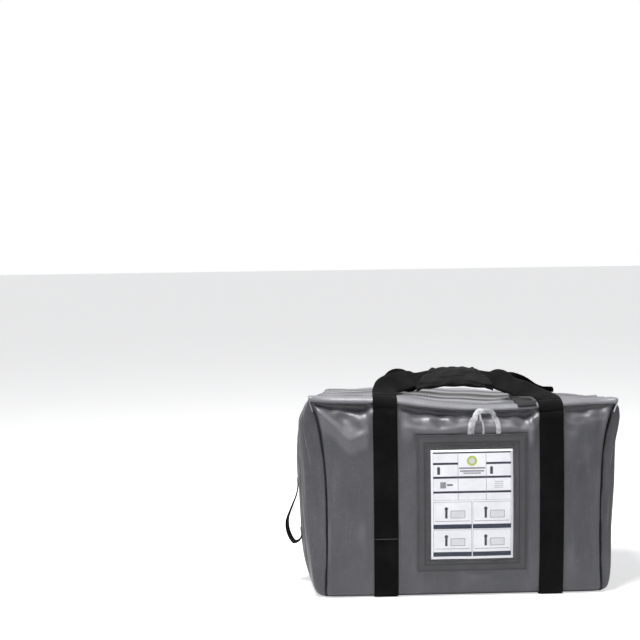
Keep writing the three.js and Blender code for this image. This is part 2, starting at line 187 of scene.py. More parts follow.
def bag_skin(a, b, level):
    a, b, level = np.broadcast_arrays(*(np.asarray(t, dtype=float) for t in (a, b, level)))
    arch = np.maximum(0, np.sin(math.pi * level))
    reach = np.maximum(np.maximum(abs(a), abs(b)), 1e-9)
    spill = abs(a / reach) ** corner_sharpness + abs(b / reach) ** corner_sharpness
    rounding = np.maximum(1, spill) ** (-1 / corner_sharpness)
    pinch = abs(a) ** 16 * level ** 12 * abs(b) ** 8
    ear = np.where(b < 0, pinch, 0)
    plan = mix(rounding, 1, pinch)
    inset = edge_inset(bag_height * level, base_edge_radius) + edge_inset(
        bag_height * (1 - level), top_edge_radius) * (1 - 0.5 * pinch - 0.4 * ear)
    half_length = mix(base_half_length, top_half_length, level ** 4) - waist * arch
    half_depth = mix(base_half_depth, top_half_depth, level) + belly * arch
    x = a * plan * (half_length - inset)
    y = b * plan * (half_depth - inset)
    z = bag_height * level
    end_fill = np.maximum(0, 1 - b * b) ** 0.35 * arch ** 0.35 * mix(0.75, 1, level)
    x = x + np.where(a < 0, -left_bulge, right_bulge) * end_fill * abs(a) ** 6
    fill = np.sqrt(np.maximum(0, 1 - a * a)) * arch ** 0.7 * abs(b) ** 6
    y = y + np.where(b < 0, -front_bulge, rear_bulge) * fill
    under_flap = np.exp(-(((bag_height * (1 - level) - crease_drop) / crease_reach) ** 2))
    y = y + np.where(b < 0, crease_depth * under_flap * abs(b) ** 6 * (1 - a ** 8), 0)
    off_middle = (a - sag_middle) / np.where(a < sag_middle, sag_left, sag_right)
    sag = np.maximum(0, 1 - off_middle ** 2) ** 1.5 * level ** 8
    to_rear = (1 + b) / 2
    z = z - top_sag * sag * (1 - to_rear) - top_tilt * a * level ** 4
    z = z - (rear_drop + rear_tilt * a + rear_round * a * a) * to_rear * level ** 8
    x = x + rear_shift * to_rear * level ** 4 + np.sign(a) * ear_reach * ear
    z = z + ear_lift * ear
    return np.stack([x, y, z], axis=-1)


print("highest corner", bag_skin(-1, -1, 1).round(4))

# %% [markdown]
# A strip that runs round the bag is easiest to place by one running number: 0 to 1 forward over the
# top, 1 to 2 down the front, 2 to 3 back under the base and 3 to 4 up the rear. The helpers turn
# such a number into a place and a normal, or find the number from an x and a height.

# %% Places on the bag
webbing_width, webbing_thickness = 0.050, 0.0022
webbing_shift, webbing_reach = 0.009, 0.1715
left_middle, right_middle = webbing_shift - webbing_reach, webbing_shift + webbing_reach
pocket_middle, pocket_width, pocket_bottom, pocket_height = 0.015, 0.228, 0.055, 0.286


def ring_point(a, run):
    a, run = np.broadcast_arrays(np.asarray(a, dtype=float), np.asarray(run, dtype=float))
    turn = np.mod(run, 4)
    side = np.floor(turn)
    along = np.sin(math.pi / 2 * (2 * (turn - side) - 1))
    b = np.select([side == 0, side == 1, side == 2], [-along, -1, along], 1)
    level = np.select([side == 0, side == 1, side == 2], [1, (1 - along) / 2, 0], (1 + along) / 2)
    return bag_skin(a, b, level)


def ring_normal(a, run):
    small = 0.01
    along = ring_point(a, np.asarray(run) + small) - ring_point(a, np.asarray(run) - small)
    across = ring_point(np.minimum(1, a + small), run) - ring_point(np.maximum(-1, a - small), run)
    normal = np.cross(along, across)
    return normal / np.linalg.norm(normal, axis=-1, keepdims=True)


def row_at(x, run):
    share = np.clip(x / base_half_length, -1, 1) + 0 * np.asarray(run, dtype=float)
    for _ in range(12):
        share = np.clip(share + (x - ring_point(share, run)[..., 0]) / base_half_length, -1, 1)
    return share


def front_run(x, z):
    share = 1 - 2 * z / bag_height
    for _ in range(12):
        run = 1.5 + np.arcsin(np.clip(share, -1, 1)) / math.pi
        share = share + 2 * (ring_point(row_at(x, run), run)[..., 2] - z) / bag_height
    return 1.5 + np.arcsin(np.clip(share, -1, 1)) / math.pi


print("top edge at the left webbing", ring_point(row_at(left_middle, 1.0), 1.0).round(4))

# %% [markdown]
# The folds of the cloth are heights over the plain form. The main one on the front is a shoulder:
# above that line the cloth leans back to the crease under the flap. The line starts in the pinched
# left corner, drops across the panel as a sharp diagonal fold and goes on between the runs of
# webbing. Under the webbing the cloth is pressed flat, and behind the pocket it is calmer.

# %% Folds of the cloth
def bump(distance, width):
    return np.exp(-((distance / width) ** 2))


def pressed(x):
    """0 under the webbing and 1 away from it."""
    free = 1.0
    for middle in (left_middle, right_middle):
        free = free * smooth((abs(x - middle) - webbing_width / 2 - 0.001) / 0.016)
    return free


def pocket_calm(x, z):
    """0 behind the label pocket and 1 away from it."""
    pocket_level = pocket_bottom + pocket_height / 2
    away_x = smooth((abs(x - pocket_middle) - pocket_width / 2) / 0.012)
    away_z = smooth((abs(z - pocket_level) - pocket_height / 2) / 0.012)
    return np.maximum(away_x, away_z)


edge_shares = np.linspace(-1, 1, 240)
front_edge = ring_point(edge_shares, 1.0)
shoulder = np.array((  # x, height of the shoulder line, how far the cloth is drawn in above it
    (-0.345, 0.416, 0.000), (-0.322, 0.412, 0.002), (-0.300, 0.396, 0.008), (-0.280, 0.377, 0.013),
    (-0.262, 0.360, 0.016), (-0.248, 0.344, 0.018), (-0.236, 0.334, 0.019), (-0.224, 0.338, 0.018),
    (-0.208, 0.345, 0.016), (-0.190, 0.351, 0.014), (-0.135, 0.353, 0.012), (-0.110, 0.357, 0.012),
    (-0.080, 0.349, 0.013), (-0.050, 0.345, 0.013), (-0.015, 0.354, 0.011), (0.020, 0.359, 0.010),
    (0.060, 0.356, 0.011), (0.100, 0.353, 0.012), (0.122, 0.346, 0.014), (0.136, 0.344, 0.015),
    (0.150, 0.353, 0.011), (0.205, 0.361, 0.008), (0.235, 0.358, 0.008), (0.320, 0.372, 0.003)))
fold_depth = 1.15
front_dents = (  # x, z, half width, half height, height over the panel
    (-0.255, 0.378, 0.016, 0.010, -0.004), (-0.214, 0.372, 0.010, 0.012, 0.003),
    (-0.098, 0.381, 0.013, 0.008, -0.004), (-0.052, 0.385, 0.018, 0.007, -0.004),
    (-0.072, 0.370, 0.008, 0.012, 0.003), (-0.118, 0.366, 0.008, 0.010, 0.003),
    (-0.030, 0.370, 0.010, 0.010, 0.003), (0.085, 0.380, 0.014, 0.008, -0.003),
    (0.128, 0.374, 0.007, 0.010, -0.007), (0.141, 0.362, 0.005, 0.010, 0.004),
    (0.114, 0.352, 0.007, 0.007, -0.003), (0.215, 0.349, 0.012, 0.014, -0.004),
    (0.228, 0.380, 0.016, 0.008, -0.003), (0.262, 0.372, 0.012, 0.010, 0.002),
    (-0.250, 0.213, 0.030, 0.050, -0.004), (-0.215, 0.138, 0.018, 0.060, 0.003),
    (-0.270, 0.278, 0.016, 0.060, -0.003), (0.255, 0.188, 0.028, 0.090, -0.004),
    (0.232, 0.098, 0.016, 0.060, 0.003), (-0.260, 0.068, 0.030, 0.025, -0.003))


def front_folds(x, z):
    """Above the shoulder line the cloth leans back to the crease under the flap."""
    line = np.interp(x, shoulder[:, 0], shoulder[:, 1])
    drawn = fold_depth * np.interp(x, shoulder[:, 0], shoulder[:, 2])
    top = np.interp(x, front_edge[:, 0], front_edge[:, 2])
    over = z - line
    climb = np.maximum(0, over) / np.maximum(0.012, top - 0.010 - line)
    lean = -0.62 * drawn * np.minimum(1.05, np.sqrt(climb * climb + 0.004) - 0.063)
    rim = 0.45 * drawn * np.where(over > 0, 1 - np.minimum(1, climb), bump(over, 0.045))
    rim = rim + 0.10 * drawn * bump(over, 0.006)
    under = -0.16 * drawn * bump(over + 0.045, 0.022)
    dents = 0.0
    for place_x, place_z, wide, high, deep in front_dents:
        dents = dents + deep * bump((x - place_x) / wide, 1) * bump((z - place_z) / high, 1)
    slack = 0.0016 * np.sin(43 * x + 9 * z) * np.sin(17 * z - 11 * x + 1.3)
    slack = slack + 0.0008 * np.sin(121 * x - 34 * z + 0.7) * np.sin(52 * z + 29 * x)
    upper = 0.0013 * np.sin(150 * x + 60 * z) * np.sin(95 * z - 40 * x) * smooth(over / 0.01)
    below = 0.0016 * bump(z - 0.085, 0.05) * np.sin(38 * x + 0.4)
    rising = smooth(z / 0.05) * smooth((top - z - 0.003) / 0.009)
    calm = mix(0.25, 1, pocket_calm(x, z))
    return (lean + rim + under + dents + slack + upper + below) * rising * pressed(x) * calm


def rear_folds(x, z):
    slack = 0.0022 * np.sin(31 * x + 1.1) * np.sin(19 * z + 0.6) + 0.0012 * np.sin(67 * x - 23 * z)
    sag = -0.006 * bump(z - 0.335 - 0.02 * np.sin(14 * x), 0.016) + 0.004 * bump(z - 0.30, 0.03)
    return (slack + sag) * smooth(z / 0.06) * (1 - smooth((z - 0.36) / 0.03)) * pressed(x)


def ring_rise(points, run):
    side = np.floor(np.mod(run, 4))
    x, z = points[..., 0], points[..., 2]
    return np.select([side == 1, side == 3], [front_folds(x, z), rear_folds(x, z)], 0.0)


def drift(run):
    """How far the skew of the bag's top carries a strip to the right."""
    return ring_point(0.0, run)[..., 0]


def on_bag(a, run, lift):
    points = ring_point(a, run)
    return points + ring_normal(a, run) * (ring_rise(points, run) + lift)[..., None]


print("front fold at its deepest", round(float(front_folds(np.array(-0.24), np.array(0.38))), 4))

# %% [markdown]
# The body stands for one packed bag. A pressure simulation would round it off everywhere, and the
# folds that make it look real are few and clear, so they are raised in code, point by point, along
# the mesh's own normals. The upright corners get a groove, where the panels are seamed together,
# and the ends get the upright pleats of cloth that is gathered into those seams.

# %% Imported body
def spread(t):
    """Rows a little closer together towards the edges."""
    return 0.5 * t + 0.5 * np.sin(math.pi / 2 * t)


def end_pleats(y, z, left):
    sway = y + 0.010 * np.sin(9 * z + 0.5) + 0.004 * np.sin(31 * z)
    pleats = 0.0026 * np.sin(2 * math.pi * sway / 0.034)
    pleats = pleats + 0.0012 * np.sin(2 * math.pi * sway / 0.021 + 1)
    if left:
        pleats = pleats + 0.003 * bump(y + 0.088 + 0.01 * np.sin(12 * z), 0.009)
        pleats = pleats - 0.003 * bump(y + 0.066 - 0.012 * np.sin(8 * z), 0.008)
    sag = 0.0014 * np.sin(27 * z + 12 * y) * np.sin(15 * y + 1)
    return 1.5 * (pleats + sag) * smooth(z / 0.07) * (1 - smooth((z - 0.365) / 0.03))


rough_length, rough_depth = 0.3, 0.125  # about half the bag's length and depth
bag = rowed_cube("bag_cloth", (170, 58, 110))
cube = points_of(bag)
a, b, level = spread(cube[:, 0]), spread(cube[:, 1]), (spread(cube[:, 2]) + 1) / 2
plain = bag_skin(a, b, level)
set_points(bag, plain)
outward(bag)
x, y, z = plain.T
on_front = (b < -0.999) & (abs(a) < 0.999)
on_rear = (b > 0.999) & (abs(a) < 0.999)
on_end = (abs(a) > 0.999) & (abs(b) < 0.999)
off_corner = (1 - abs(np.where(on_end, b, a))) * np.where(on_end, rough_depth, rough_length)
near_corner = smooth(off_corner / 0.012)
rise = np.select(
    [on_front, on_rear, on_end & (a < 0), on_end & (a > 0)],
    [front_folds(x, z), rear_folds(x, z), end_pleats(y, z, True), end_pleats(y, z, False)],
    0.0,
) * near_corner
from_corner = np.hypot((1 - abs(a)) * rough_length, (1 - abs(b)) * rough_depth)
upright = smooth(z / 0.03) * (1 - smooth((z - 0.389) / 0.012))
groove = -0.0045 * bump(from_corner, 0.005) + 0.0022 * bump(from_corner - 0.013, 0.007)
rise = rise + groove * upright
folded = plain + normals_of(bag) * rise[:, None]
channel = 0.0038 * (1 - pressed(x))  # the base is pressed in where the webbing passes under it
folded[:, 2] = np.where(level < 0.001, np.maximum(folded[:, 2], channel), folded[:, 2])
folded[:, 2] = np.maximum(folded[:, 2], 0)
set_points(bag, folded)
outward(bag)
print("body faces", len(bag.data.polygons), "rise", rise.min().round(4), "to", rise.max().round(4))

# %% [markdown]
# Each panel of the body is its own sheet of cloth, so its UV map is laid from the panel's own side.
# The crests of the front's folds are marked in an attribute. The finish lightens them there: a
# painted highlight, and partly pale wear of the coating.

# %% Map and painted crest highlight of the body
face_middles = np.empty(3 * len(bag.data.polygons))
set_points(bag, cube)
bag.data.polygons.foreach_get("center", face_middles)
set_points(bag, folded)
panel_axis = np.argmax(abs(face_middles.reshape(-1, 3)), axis=1)
loop_totals = np.empty(len(bag.data.polygons), dtype=int)
bag.data.polygons.foreach_get("loop_total", loop_totals)
axis_of_loop = np.repeat(panel_axis, loop_totals)
corner_points = np.empty(len(bag.data.loops), dtype=int)
bag.data.loops.foreach_get("vertex_index", corner_points)
px, py, pz = folded[corner_points].T
cloth_map = np.stack(
    [np.where(axis_of_loop == 0, py, px), np.where(axis_of_loop == 2, py, pz)], axis=1)
bag.data.uv_layers.active.data.foreach_set("uv", cloth_map.ravel())

crest_light_wear = bag.data.attributes.new("crest_highlight_wear", "FLOAT", "POINT")
# Crests of the folds, for the painted highlight (partly pale wear) in the finish.
crest = smooth(np.maximum(0, rise - 0.0008) / 0.005) * on_front
crest_light_wear.data.foreach_set("value", crest)
print("worn points", int((crest > 0.5).sum()))

# %% [markdown]
# The flap is a thick pad of folded cloth over the whole top. Its front edge is a rolled hem that
# stands out over the panel and throws the dark line under it. Along the top run low steps, one for
# each folded ply, and a row of stitches holds each of them.

# %% Closing flap
flap_gap, flap_thickness = 0.0007, 0.005
row_step = 1 / 16
flap_edge = 1.15 * row_step
corner_slack = 0.0014
ply_edges, ply_step = (-0.086, -0.034, 0.018, 0.072), 0.0027
flap = rowed_cube("flap_cloth", (190, 84, 4))
cube = points_of(flap)
a = spread(cube[:, 0])
run = mix(1 + flap_edge, -flap_edge, (cube[:, 1] + 1) / 2)
base_points = ring_point(a, run)
flap_x, depth_y = base_points[:, 0], base_points[:, 1]
top_share = smooth((run - 0.02) / 0.05) * (1 - smooth((run - 0.93) / 0.05))
plies = 0.0
for edge in ply_edges:
    wavy = depth_y - edge - 0.002 * np.sin(17 * flap_x + 40 * edge)
    plies = plies + ply_step * (smooth(wavy / 0.004 + 0.5) - smooth(wavy / 0.05))
lumps = 0.0012 * np.sin(23 * flap_x + 3) * np.sin(16 * depth_y + 1)
lumps = lumps + 0.0008 * np.sin(61 * flap_x - 21 * depth_y)
puckers = 0.0007 * np.sin(210 * flap_x) * bump(depth_y + 0.118, 0.02)
rear_lumps = 0.0028 * np.sin(49 * flap_x + 0.4) * np.sin(13 * flap_x) * bump(depth_y - 0.12, 0.02)
roll = 0.0032 * bump(run - 1.0, np.where(run < 1, 0.10, 0.055)) * (1 - abs(a) ** 10)
outer = flap_gap + flap_thickness + (plies + lumps + puckers) * top_share + rear_lumps + roll
share = (cube[:, 2] + 1) / 2
end_round = np.sqrt(np.maximum(0, 1 - np.clip((abs(cube[:, 1]) - 0.955) / 0.045, 0, 1) ** 2))
side_round = np.sqrt(np.maximum(0, 1 - np.clip((abs(a) - 0.992) / 0.008, 0, 1) ** 2))
middle_lift = (flap_gap + outer) / 2
half_lift = (outer - flap_gap) / 2 * mix(0.25, 1, end_round * side_round)
lift = middle_lift + (2 * share - 1) * half_lift + corner_slack * abs(cube[:, 0]) ** 6
set_points(flap, base_points + ring_normal(a, run) * lift[:, None])
past_rear, past_front = np.maximum(0, -run) / row_step, np.maximum(0, run - 1) / row_step
lay_pattern(flap, flap_x, depth_y + 0.013 * (past_rear - past_front))
outward(flap)
print("flap top", round(float(points_of(flap)[:, 2].max()), 4))


# %% [markdown]
# All webbing is one kind of strip: a cube with rows along it, laid along middle points with a
# direction across it at each. Its edges are a little thinner than its middle, as woven edges are.
# Its UV map runs in metres across and along the strip, so the weave follows it round every bend.

# %% Webbing strips
def strip(name, middles, acrosses, width, thickness, rows_across=8, crown=0.0):
    middles, acrosses = np.asarray(middles, dtype=float), np.asarray(acrosses, dtype=float)
    count = 10 * math.ceil((len(middles) - 1) / 10) + 1
    places = np.linspace(0, len(middles) - 1, count)
    middles, acrosses = (
        np.stack([np.interp(places, np.arange(len(t)), t[:, i]) for i in range(3)], axis=1)
        for t in (middles, acrosses)
    )
    piece = rowed_cube(name, (rows_across, count - 1, 2))
    cube = points_of(piece)
    index = np.rint((1 - cube[:, 1]) / 2 * (count - 1)).astype(int)
    ahead, behind = np.minimum(index + 1, count - 1), np.maximum(index - 1, 0)
    along = middles[ahead] - middles[behind]
    along /= np.linalg.norm(along, axis=1, keepdims=True)
    across = acrosses[index]
    across = across - along * (across * along).sum(axis=1, keepdims=True)
    across /= np.linalg.norm(across, axis=1, keepdims=True)
    face = np.cross(along, across)
    edge = 1 - 0.45 * abs(cube[:, 0]) ** 10
    bow = crown * (1 - cube[:, 0] ** 2)
    points = middles[index] + across * (cube[:, 0] * width / 2)[:, None]
    points = points + face * (cube[:, 2] * thickness / 2 * edge + bow)[:, None]
    set_points(piece, points)
    steps = np.linalg.norm(np.diff(middles, axis=0), axis=1)
    travelled = np.concatenate([[0], np.cumsum(steps)])
    lay_pattern(piece, cube[:, 0] * width / 2, travelled[index])
    outward(piece)
    return piece


def laid_path(middle_x, width, runs, lifts):
    """Middle points and directions of a strip that lies on the bag."""
    edges = [
        on_bag(row_at(middle_x + side * width / 2, runs), runs, lifts) for side in (-1, 1)
    ]
    across = edges[1] - edges[0]
    return (edges[0] + edges[1]) / 2, across / np.linalg.norm(across, axis=1, keepdims=True)


def curve_through(keys, per_span):
    """A centripetal Catmull-Rom curve through the keys."""
    keys = np.asarray(keys, dtype=float)
    keys = np.vstack([2 * keys[0] - keys[1], keys, 2 * keys[-1] - keys[-2]])
    points = []
    for i in range(1, len(keys) - 2):
        p = keys[i - 1:i + 3]
        spans = np.maximum(1e-6, np.linalg.norm(np.diff(p, axis=0), axis=1))
        knots = np.concatenate([[0], np.cumsum(spans ** 0.5)])
        for t in np.linspace(knots[1], knots[2], per_span, endpoint=False):
            def blend(low, high, start, end):
                return (low * (end - t) + high * (t - start)) / (end - start)
            first = [blend(p[j], p[j + 1], knots[j], knots[j + 1]) for j in range(3)]
            second = [blend(first[j], first[j + 1], knots[j], knots[j + 2]) for j in range(2)]
            points.append(blend(second[0], second[1], knots[1], knots[2]))
    points.append(keys[-2])
    return np.array(points)


print("webbing", webbing_width, "m wide and", webbing_thickness, "m thick")

# %% [markdown]
# Two lengths of webbing go down the front, under the base and up the rear, a small gap off the
# cloth. The end of the front handle overlaps the left one low on the front, and the right one just
# above the base. At the rear both are joined to the rear handle down there too.

# %% Webbing round the bag
bend_gap = 0.0009
on_panel = bend_gap + webbing_thickness / 2
join_height = 0.127
join_run = float(front_run(left_middle, join_height))
low_join = 1.93


def around(middle_x, start_run, end_run):
    runs = np.linspace(start_run, end_run, 150)
    lifts = np.full(len(runs), on_panel)
    return laid_path(middle_x + drift(runs), webbing_width, runs, lifts)


runs_round = {}
for name, middle_x, start_run in (
        ("webbing_round_left", left_middle, join_run - 0.045),
        ("webbing_round_right", right_middle, low_join - 0.03)):
    middles, across = around(middle_x, start_run, 3.10)
    middles[:, 2] = np.maximum(middles[:, 2], webbing_thickness / 2 + 0.0002)
    runs_round[name] = strip(name, middles, across, webbing_width, webbing_thickness)
print("webbing joined at height", join_height, "on the left")

# %% [markdown]
# Each handle goes on where the webbing comes up the panel. Its two ends are laid: they rise on the
# panel, step out over the flap's hem and lie on the first rows of the top. The middle line of the
# grip that takes both handles is a low arch, and the grip leans.

# %% Grip line and handle ends
grip_left, grip_right, grip_top_left, grip_top_right = -0.086, 0.079, -0.045, 0.041
grip_end_rise, grip_crown = 0.030, 0.009
grip_lean = math.radians(55)
grip_across = np.array([0, math.sin(grip_lean), math.cos(grip_lean)])
grip_outward = np.array([0, -math.cos(grip_lean), math.sin(grip_lean)])
layer_offset = (webbing_thickness + 0.0018) / 2
over_flap = flap_gap + flap_thickness + 0.0037 + webbing_thickness / 2


def grip_middle(x):
    share = np.clip((x - grip_left) / (grip_right - grip_left), 0, 1)
    return np.array([x, 0, bag_height + grip_end_rise + grip_crown * math.sin(math.pi * share)])


def seat(middle_x, front, last_run):
    """From the join on the panel, over the flap's hem, to where the handle leaves the top."""
    if front:
        runs = np.concatenate([np.linspace(last_run, 1.2, 46), np.linspace(1.19, 0.875, 26)])
        rows = (runs - 1) / row_step
    else:
        runs = np.concatenate([np.linspace(1 - last_run, -0.2, 46), np.linspace(-0.19, 0.125, 26)])
        rows = -runs / row_step
    lifts = mix(over_flap, on_panel, smooth((rows - 1.6) / 1.8))
    lapped = 1 - smooth((last_run - np.where(rows > 0, rows * row_step + 1, 1) - 0.03) / 0.04)
    lifts = lifts + (webbing_thickness + 0.0003) * lapped
    lifts = lifts + 0.002 * smooth((-0.9 - rows) / 0.9)
    return laid_path(middle_x + drift(runs), webbing_width, runs, lifts)


print("grip from", grip_middle(grip_left).round(3), "to", grip_middle(grip_right).round(3))

# %% [markdown]
# Between its laid ends a handle is free: up over the top, through the grip and down again. The keys
# of that part follow the CAD model's. Each key has a place and the direction across the strip
# there, so the strip can turn on its way. The rear handle starts and ends further right than the
# front one, as the skewed top carries it, and its right leg lies lower.

# %% Handles
def handle(name, front, left_join, right_join):
    side = -1 if front else 1

    def out(x, y, z):
        return np.array([x, side * y, bag_height + z])

    def turn(x, y, z):
        return -side * np.array([x, y, z], dtype=float)

    def layer(x, apart):
        return grip_middle(x) - side * apart * layer_offset * grip_outward

    left, left_across = seat(left_middle, front, left_join)
    right, right_across = seat(right_middle, front, right_join)
    right, right_across = right[::-1], right_across[::-1]
    shares = (0, 0.25, 0.5, 0.75, 1)
    if front:
        left_leg = [
            (out(left_middle + 0.003, 0.074, 0.015), turn(-1, 0, 0.1)),
            (out(left_middle + 0.012, 0.044, 0.026), turn(-0.85, 0.2, 0.45)),
            (out(left_middle + 0.034, 0.023, 0.031), turn(-0.4, 0.5, 0.7)),
        ]
        right_leg = [
            (out(grip_right + 0.028, 0.025, 0.026), turn(0.06, 0.75, 0.6)),
            (out(right_middle - 0.052, 0.037, 0.017), turn(0.25, 0.7, 0.6)),
            (out(right_middle - 0.030, 0.058, 0.012), turn(0.65, 0.5, 0.3)),
            (out(right_middle - 0.009, 0.082, 0.007), turn(0.95, 0.2, 0.06)),
        ]
    else:
        left_leg = [
            (out(left_middle + 0.027, 0.074, 0.011), turn(-1, 0, 0.1)),
            (out(left_middle + 0.031, 0.046, 0.020), turn(-0.85, -0.08, 0.45)),
            (out(left_middle + 0.040, 0.023, 0.031), turn(-0.4, 0.4, 0.7)),
        ]
        right_leg = [
            (out(grip_right + 0.028, 0.020, 0.020), turn(0.3, 0.7, 0.45)),
            (out(right_middle - 0.045, 0.037, 0.017), turn(0.8, 0.2, 0.35)),
            (out(right_middle - 0.016, 0.058, 0.008), turn(0.95, -0.05, 0.15)),
            (out(right_middle + 0.024, 0.086, 0.002), turn(1, 0, -0.1)),
        ]
    keys = [
        (left[-1], side * left_across[-1]),
        *left_leg,
        (layer(grip_left - 0.009, 3.3), turn(*grip_across)),
        *((layer(mix(grip_left, grip_right, share), 1.1), turn(*grip_across)) for share in shares),
        (layer(grip_right + 0.010, 3.3), turn(*grip_across)),
        *right_leg,
        (right[0], -side * right_across[0]),
    ]
    free = curve_through([key[0] for key in keys], 9)
    turning = curve_through([key[1] for key in keys], 9)
    middles = np.vstack([left[:-1], free, right[1:]])
    acrosses = np.vstack([side * left_across[:-1], turning, -side * right_across[1:]])
    return strip(name, middles, acrosses, webbing_width, webbing_thickness)


handle_front = handle("handle_front_webbing", True, join_run, low_join)
handle_rear = handle("handle_rear_webbing", False, low_join, low_join)
print("handle points", len(handle_front.data.vertices), len(handle_rear.data.vertices))

# %% [markdown]
# The grip is one patch of soft cloth, wrapped round both handles. It is longer below than above,
# and the cloth bunches into folds along its length. The cube's sides are first rounded into a
# flat oval, and each fold is a ridge at its own place round that oval.

# %% Wrapped grip
grip = rowed_cube("grip_sleeve", (96, 26, 42))
cube = points_of(grip)
round_y, round_z = cube[:, 1], cube[:, 2]
reach = np.maximum(np.maximum(abs(round_y), abs(round_z)), 1e-9)
angle = np.arctan2(round_z, round_y)
half_width, half_thickness, fullness = 0.0294, 0.0098, 2.6
oval = (abs(np.cos(angle)) ** fullness + abs(np.sin(angle)) ** fullness) ** (-1 / fullness)
height = (reach * oval * np.sin(angle) + 1) / 2
start = mix(grip_left, grip_top_left, np.clip(height, 0, 1) ** 1.4)
end = mix(grip_right, grip_top_right, np.clip(height, 0, 1) ** 1.4)
share = (cube[:, 0] + 1) / 2
along_x = mix(start, end, share)
creases = 0.0
for place, deep, slant, wide in (
        (2.95, 0.0030, 0.20, 0.13), (2.50, 0.0026, -0.35, 0.12), (2.15, 0.0022, 0.22, 0.11),
        (3.45, 0.0028, -0.25, 0.14), (1.75, 0.0020, -0.20, 0.12), (4.05, 0.0024, 0.25, 0.16),
        (1.20, 0.0016, 0.18, 0.14), (0.55, 0.0020, -0.2, 0.16), (5.2, 0.0018, 0.3, 0.2)):
    centre = place + slant * (share - 0.5) + 0.10 * np.sin(9 * share + 3 * place)
    off = np.angle(np.exp(1j * (angle - centre)))
    creases = creases - deep * bump(off, wide) * (0.55 + 0.45 * np.sin(7 * share + 5 * place))
creases = creases + 0.0008 * np.sin(25 * share + 4 * angle)
hem = 0.0010 * (bump(share, 0.045) + bump(share - 1, 0.045))
waist_in = -0.0012 * bump(share - 0.09, 0.03) - 0.0012 * bump(share - 0.91, 0.03)
radial = reach * oval
relief = (creases + hem + waist_in) * reach
across_out = np.sin(angle) * (radial * half_width + relief)
face_out = -np.cos(angle) * (radial * half_thickness + relief)
along_share = np.clip((along_x - grip_left) / (grip_right - grip_left), 0, 1)
middle_z = bag_height + grip_end_rise + grip_crown * np.sin(math.pi * along_share)
sleeve = np.stack([along_x, np.zeros_like(along_x), middle_z], axis=1)
sleeve = sleeve + across_out[:, None] * grip_across + face_out[:, None] * grip_outward
set_points(grip, sleeve)
lay_pattern(grip, sleeve[:, 0], angle * 0.02)
outward(grip)
print("grip from", sleeve.min(axis=0).round(3), "to", sleeve.max(axis=0).round(3))

# %% [markdown]
# The label pocket is a sheet of smooth cloth with a border sewn round it, so its front steps up
# towards the edge. The same helper lays the card and the clear window, each at its own height.

# %% Label pocket
pocket_border = 0.019
seat_gap = 0.0003


def front_patch(name, middle_x, width, bottom, height, inner, outer_at, rows):
    """A flat piece on the front panel; outer_at gives its front's lift at each place."""
    piece = rowed_cube(name, (rows[0], 2, rows[1]))
    cube = points_of(piece)
    x = middle_x + cube[:, 0] * width / 2
    z = bottom + (cube[:, 2] + 1) / 2 * height
    runs = front_run(x, z)
    lift = mix(outer_at(cube[:, 0], cube[:, 2]), inner, (cube[:, 1] + 1) / 2)
    points = on_bag(row_at(x, runs), runs, lift)
    set_points(piece, points)
    lay_pattern(piece, cube[:, 0] * width / 2, (cube[:, 2] + 1) / 2 * height)
    outward(piece)
    return piece


def border_lift(u, w):
    inside_x = (1 - abs(u)) * pocket_width / 2
    inside_z = (1 - abs(w)) * pocket_height / 2
    inside = np.minimum(inside_x, inside_z)
    step = 1 - smooth((inside - pocket_border) / 0.0018)
    rolled = 0.35 * bump(inside - 0.0095, 0.0018) + 0.5 * bump(inside, 0.0025)
    ripple = 0.0005 * np.sin(31 * u + 3) * np.sin(23 * w)
    return 0.0014 + 0.0019 * step - 0.0012 * rolled * step + ripple * 0.5


pocket = front_patch("pocket_cloth", pocket_middle, pocket_width, pocket_bottom, pocket_height,
                     seat_gap, border_lift, (150, 180))
card_width, card_height = 0.170, 0.228
card_bottom = pocket_bottom + (pocket_height - card_height) / 2 - 0.002
card = front_patch("label_sheet", pocket_middle, card_width, card_bottom, card_height,
                   0.0017, lambda u, w: 0.0024 + 0 * u, (30, 40))
open_width, open_height = pocket_width - 2 * pocket_border, pocket_height - 2 * pocket_border


def window_lift(u, w):
    wave = 0.00035 * np.sin(9 * u + 2) * np.sin(7 * w + 1) + 0.0003 * np.sin(17 * w - 8 * u)
    return 0.0033 + wave


window_bottom = pocket_bottom + pocket_border + seat_gap
window = front_patch(
    "clear_window", pocket_middle, open_width - 2 * seat_gap, window_bottom,
    open_height - 2 * seat_gap, 0.0028, window_lift, (50, 60))
print("pocket from z", pocket_bottom, "to", pocket_bottom + pocket_height)

# %% [markdown]
# The clear tie loop is a narrow band of film, pinched at its top, with a second, shorter band
# inside it. It starts just above the pocket and hangs out over the flap's hem.

# %% Tie loop
tie_width, tie_thickness, tie_span, tie_rise = 0.010, 0.0012, 0.059, 0.055
tie_bottom = pocket_bottom + pocket_height + 0.001
hem_front = -(top_half_depth + flap_gap + flap_thickness + 0.0085)


def tie_band(name, middle_x, span, rise, width, off):
    angles = np.linspace(0, math.pi, 61)
    arch = np.sin(angles) ** 0.8
    x = middle_x - span / 2 * np.cos(angles) + 0.004 * np.sin(angles) * np.sin(2 * angles)
    z = tie_bottom + rise * arch
    runs = front_run(x, z)
    middles = on_bag(row_at(x, runs), runs, np.zeros(len(x)))
    on_panel_y = middles[:, 1] - off
    over_hem_y = mix(on_panel_y, hem_front - off, smooth(arch * 1.15))
    middles[:, 1] = np.minimum(on_panel_y, over_hem_y)
    along = np.gradient(middles, axis=0)
    lean = 0.35 * np.sin(2 * angles) * np.linalg.norm(along, axis=1)
    across = np.stack([-along[:, 2], lean, along[:, 0]], axis=1)
    return strip(name, middles, across, width, tie_thickness, rows_across=6, crown=0.0008)


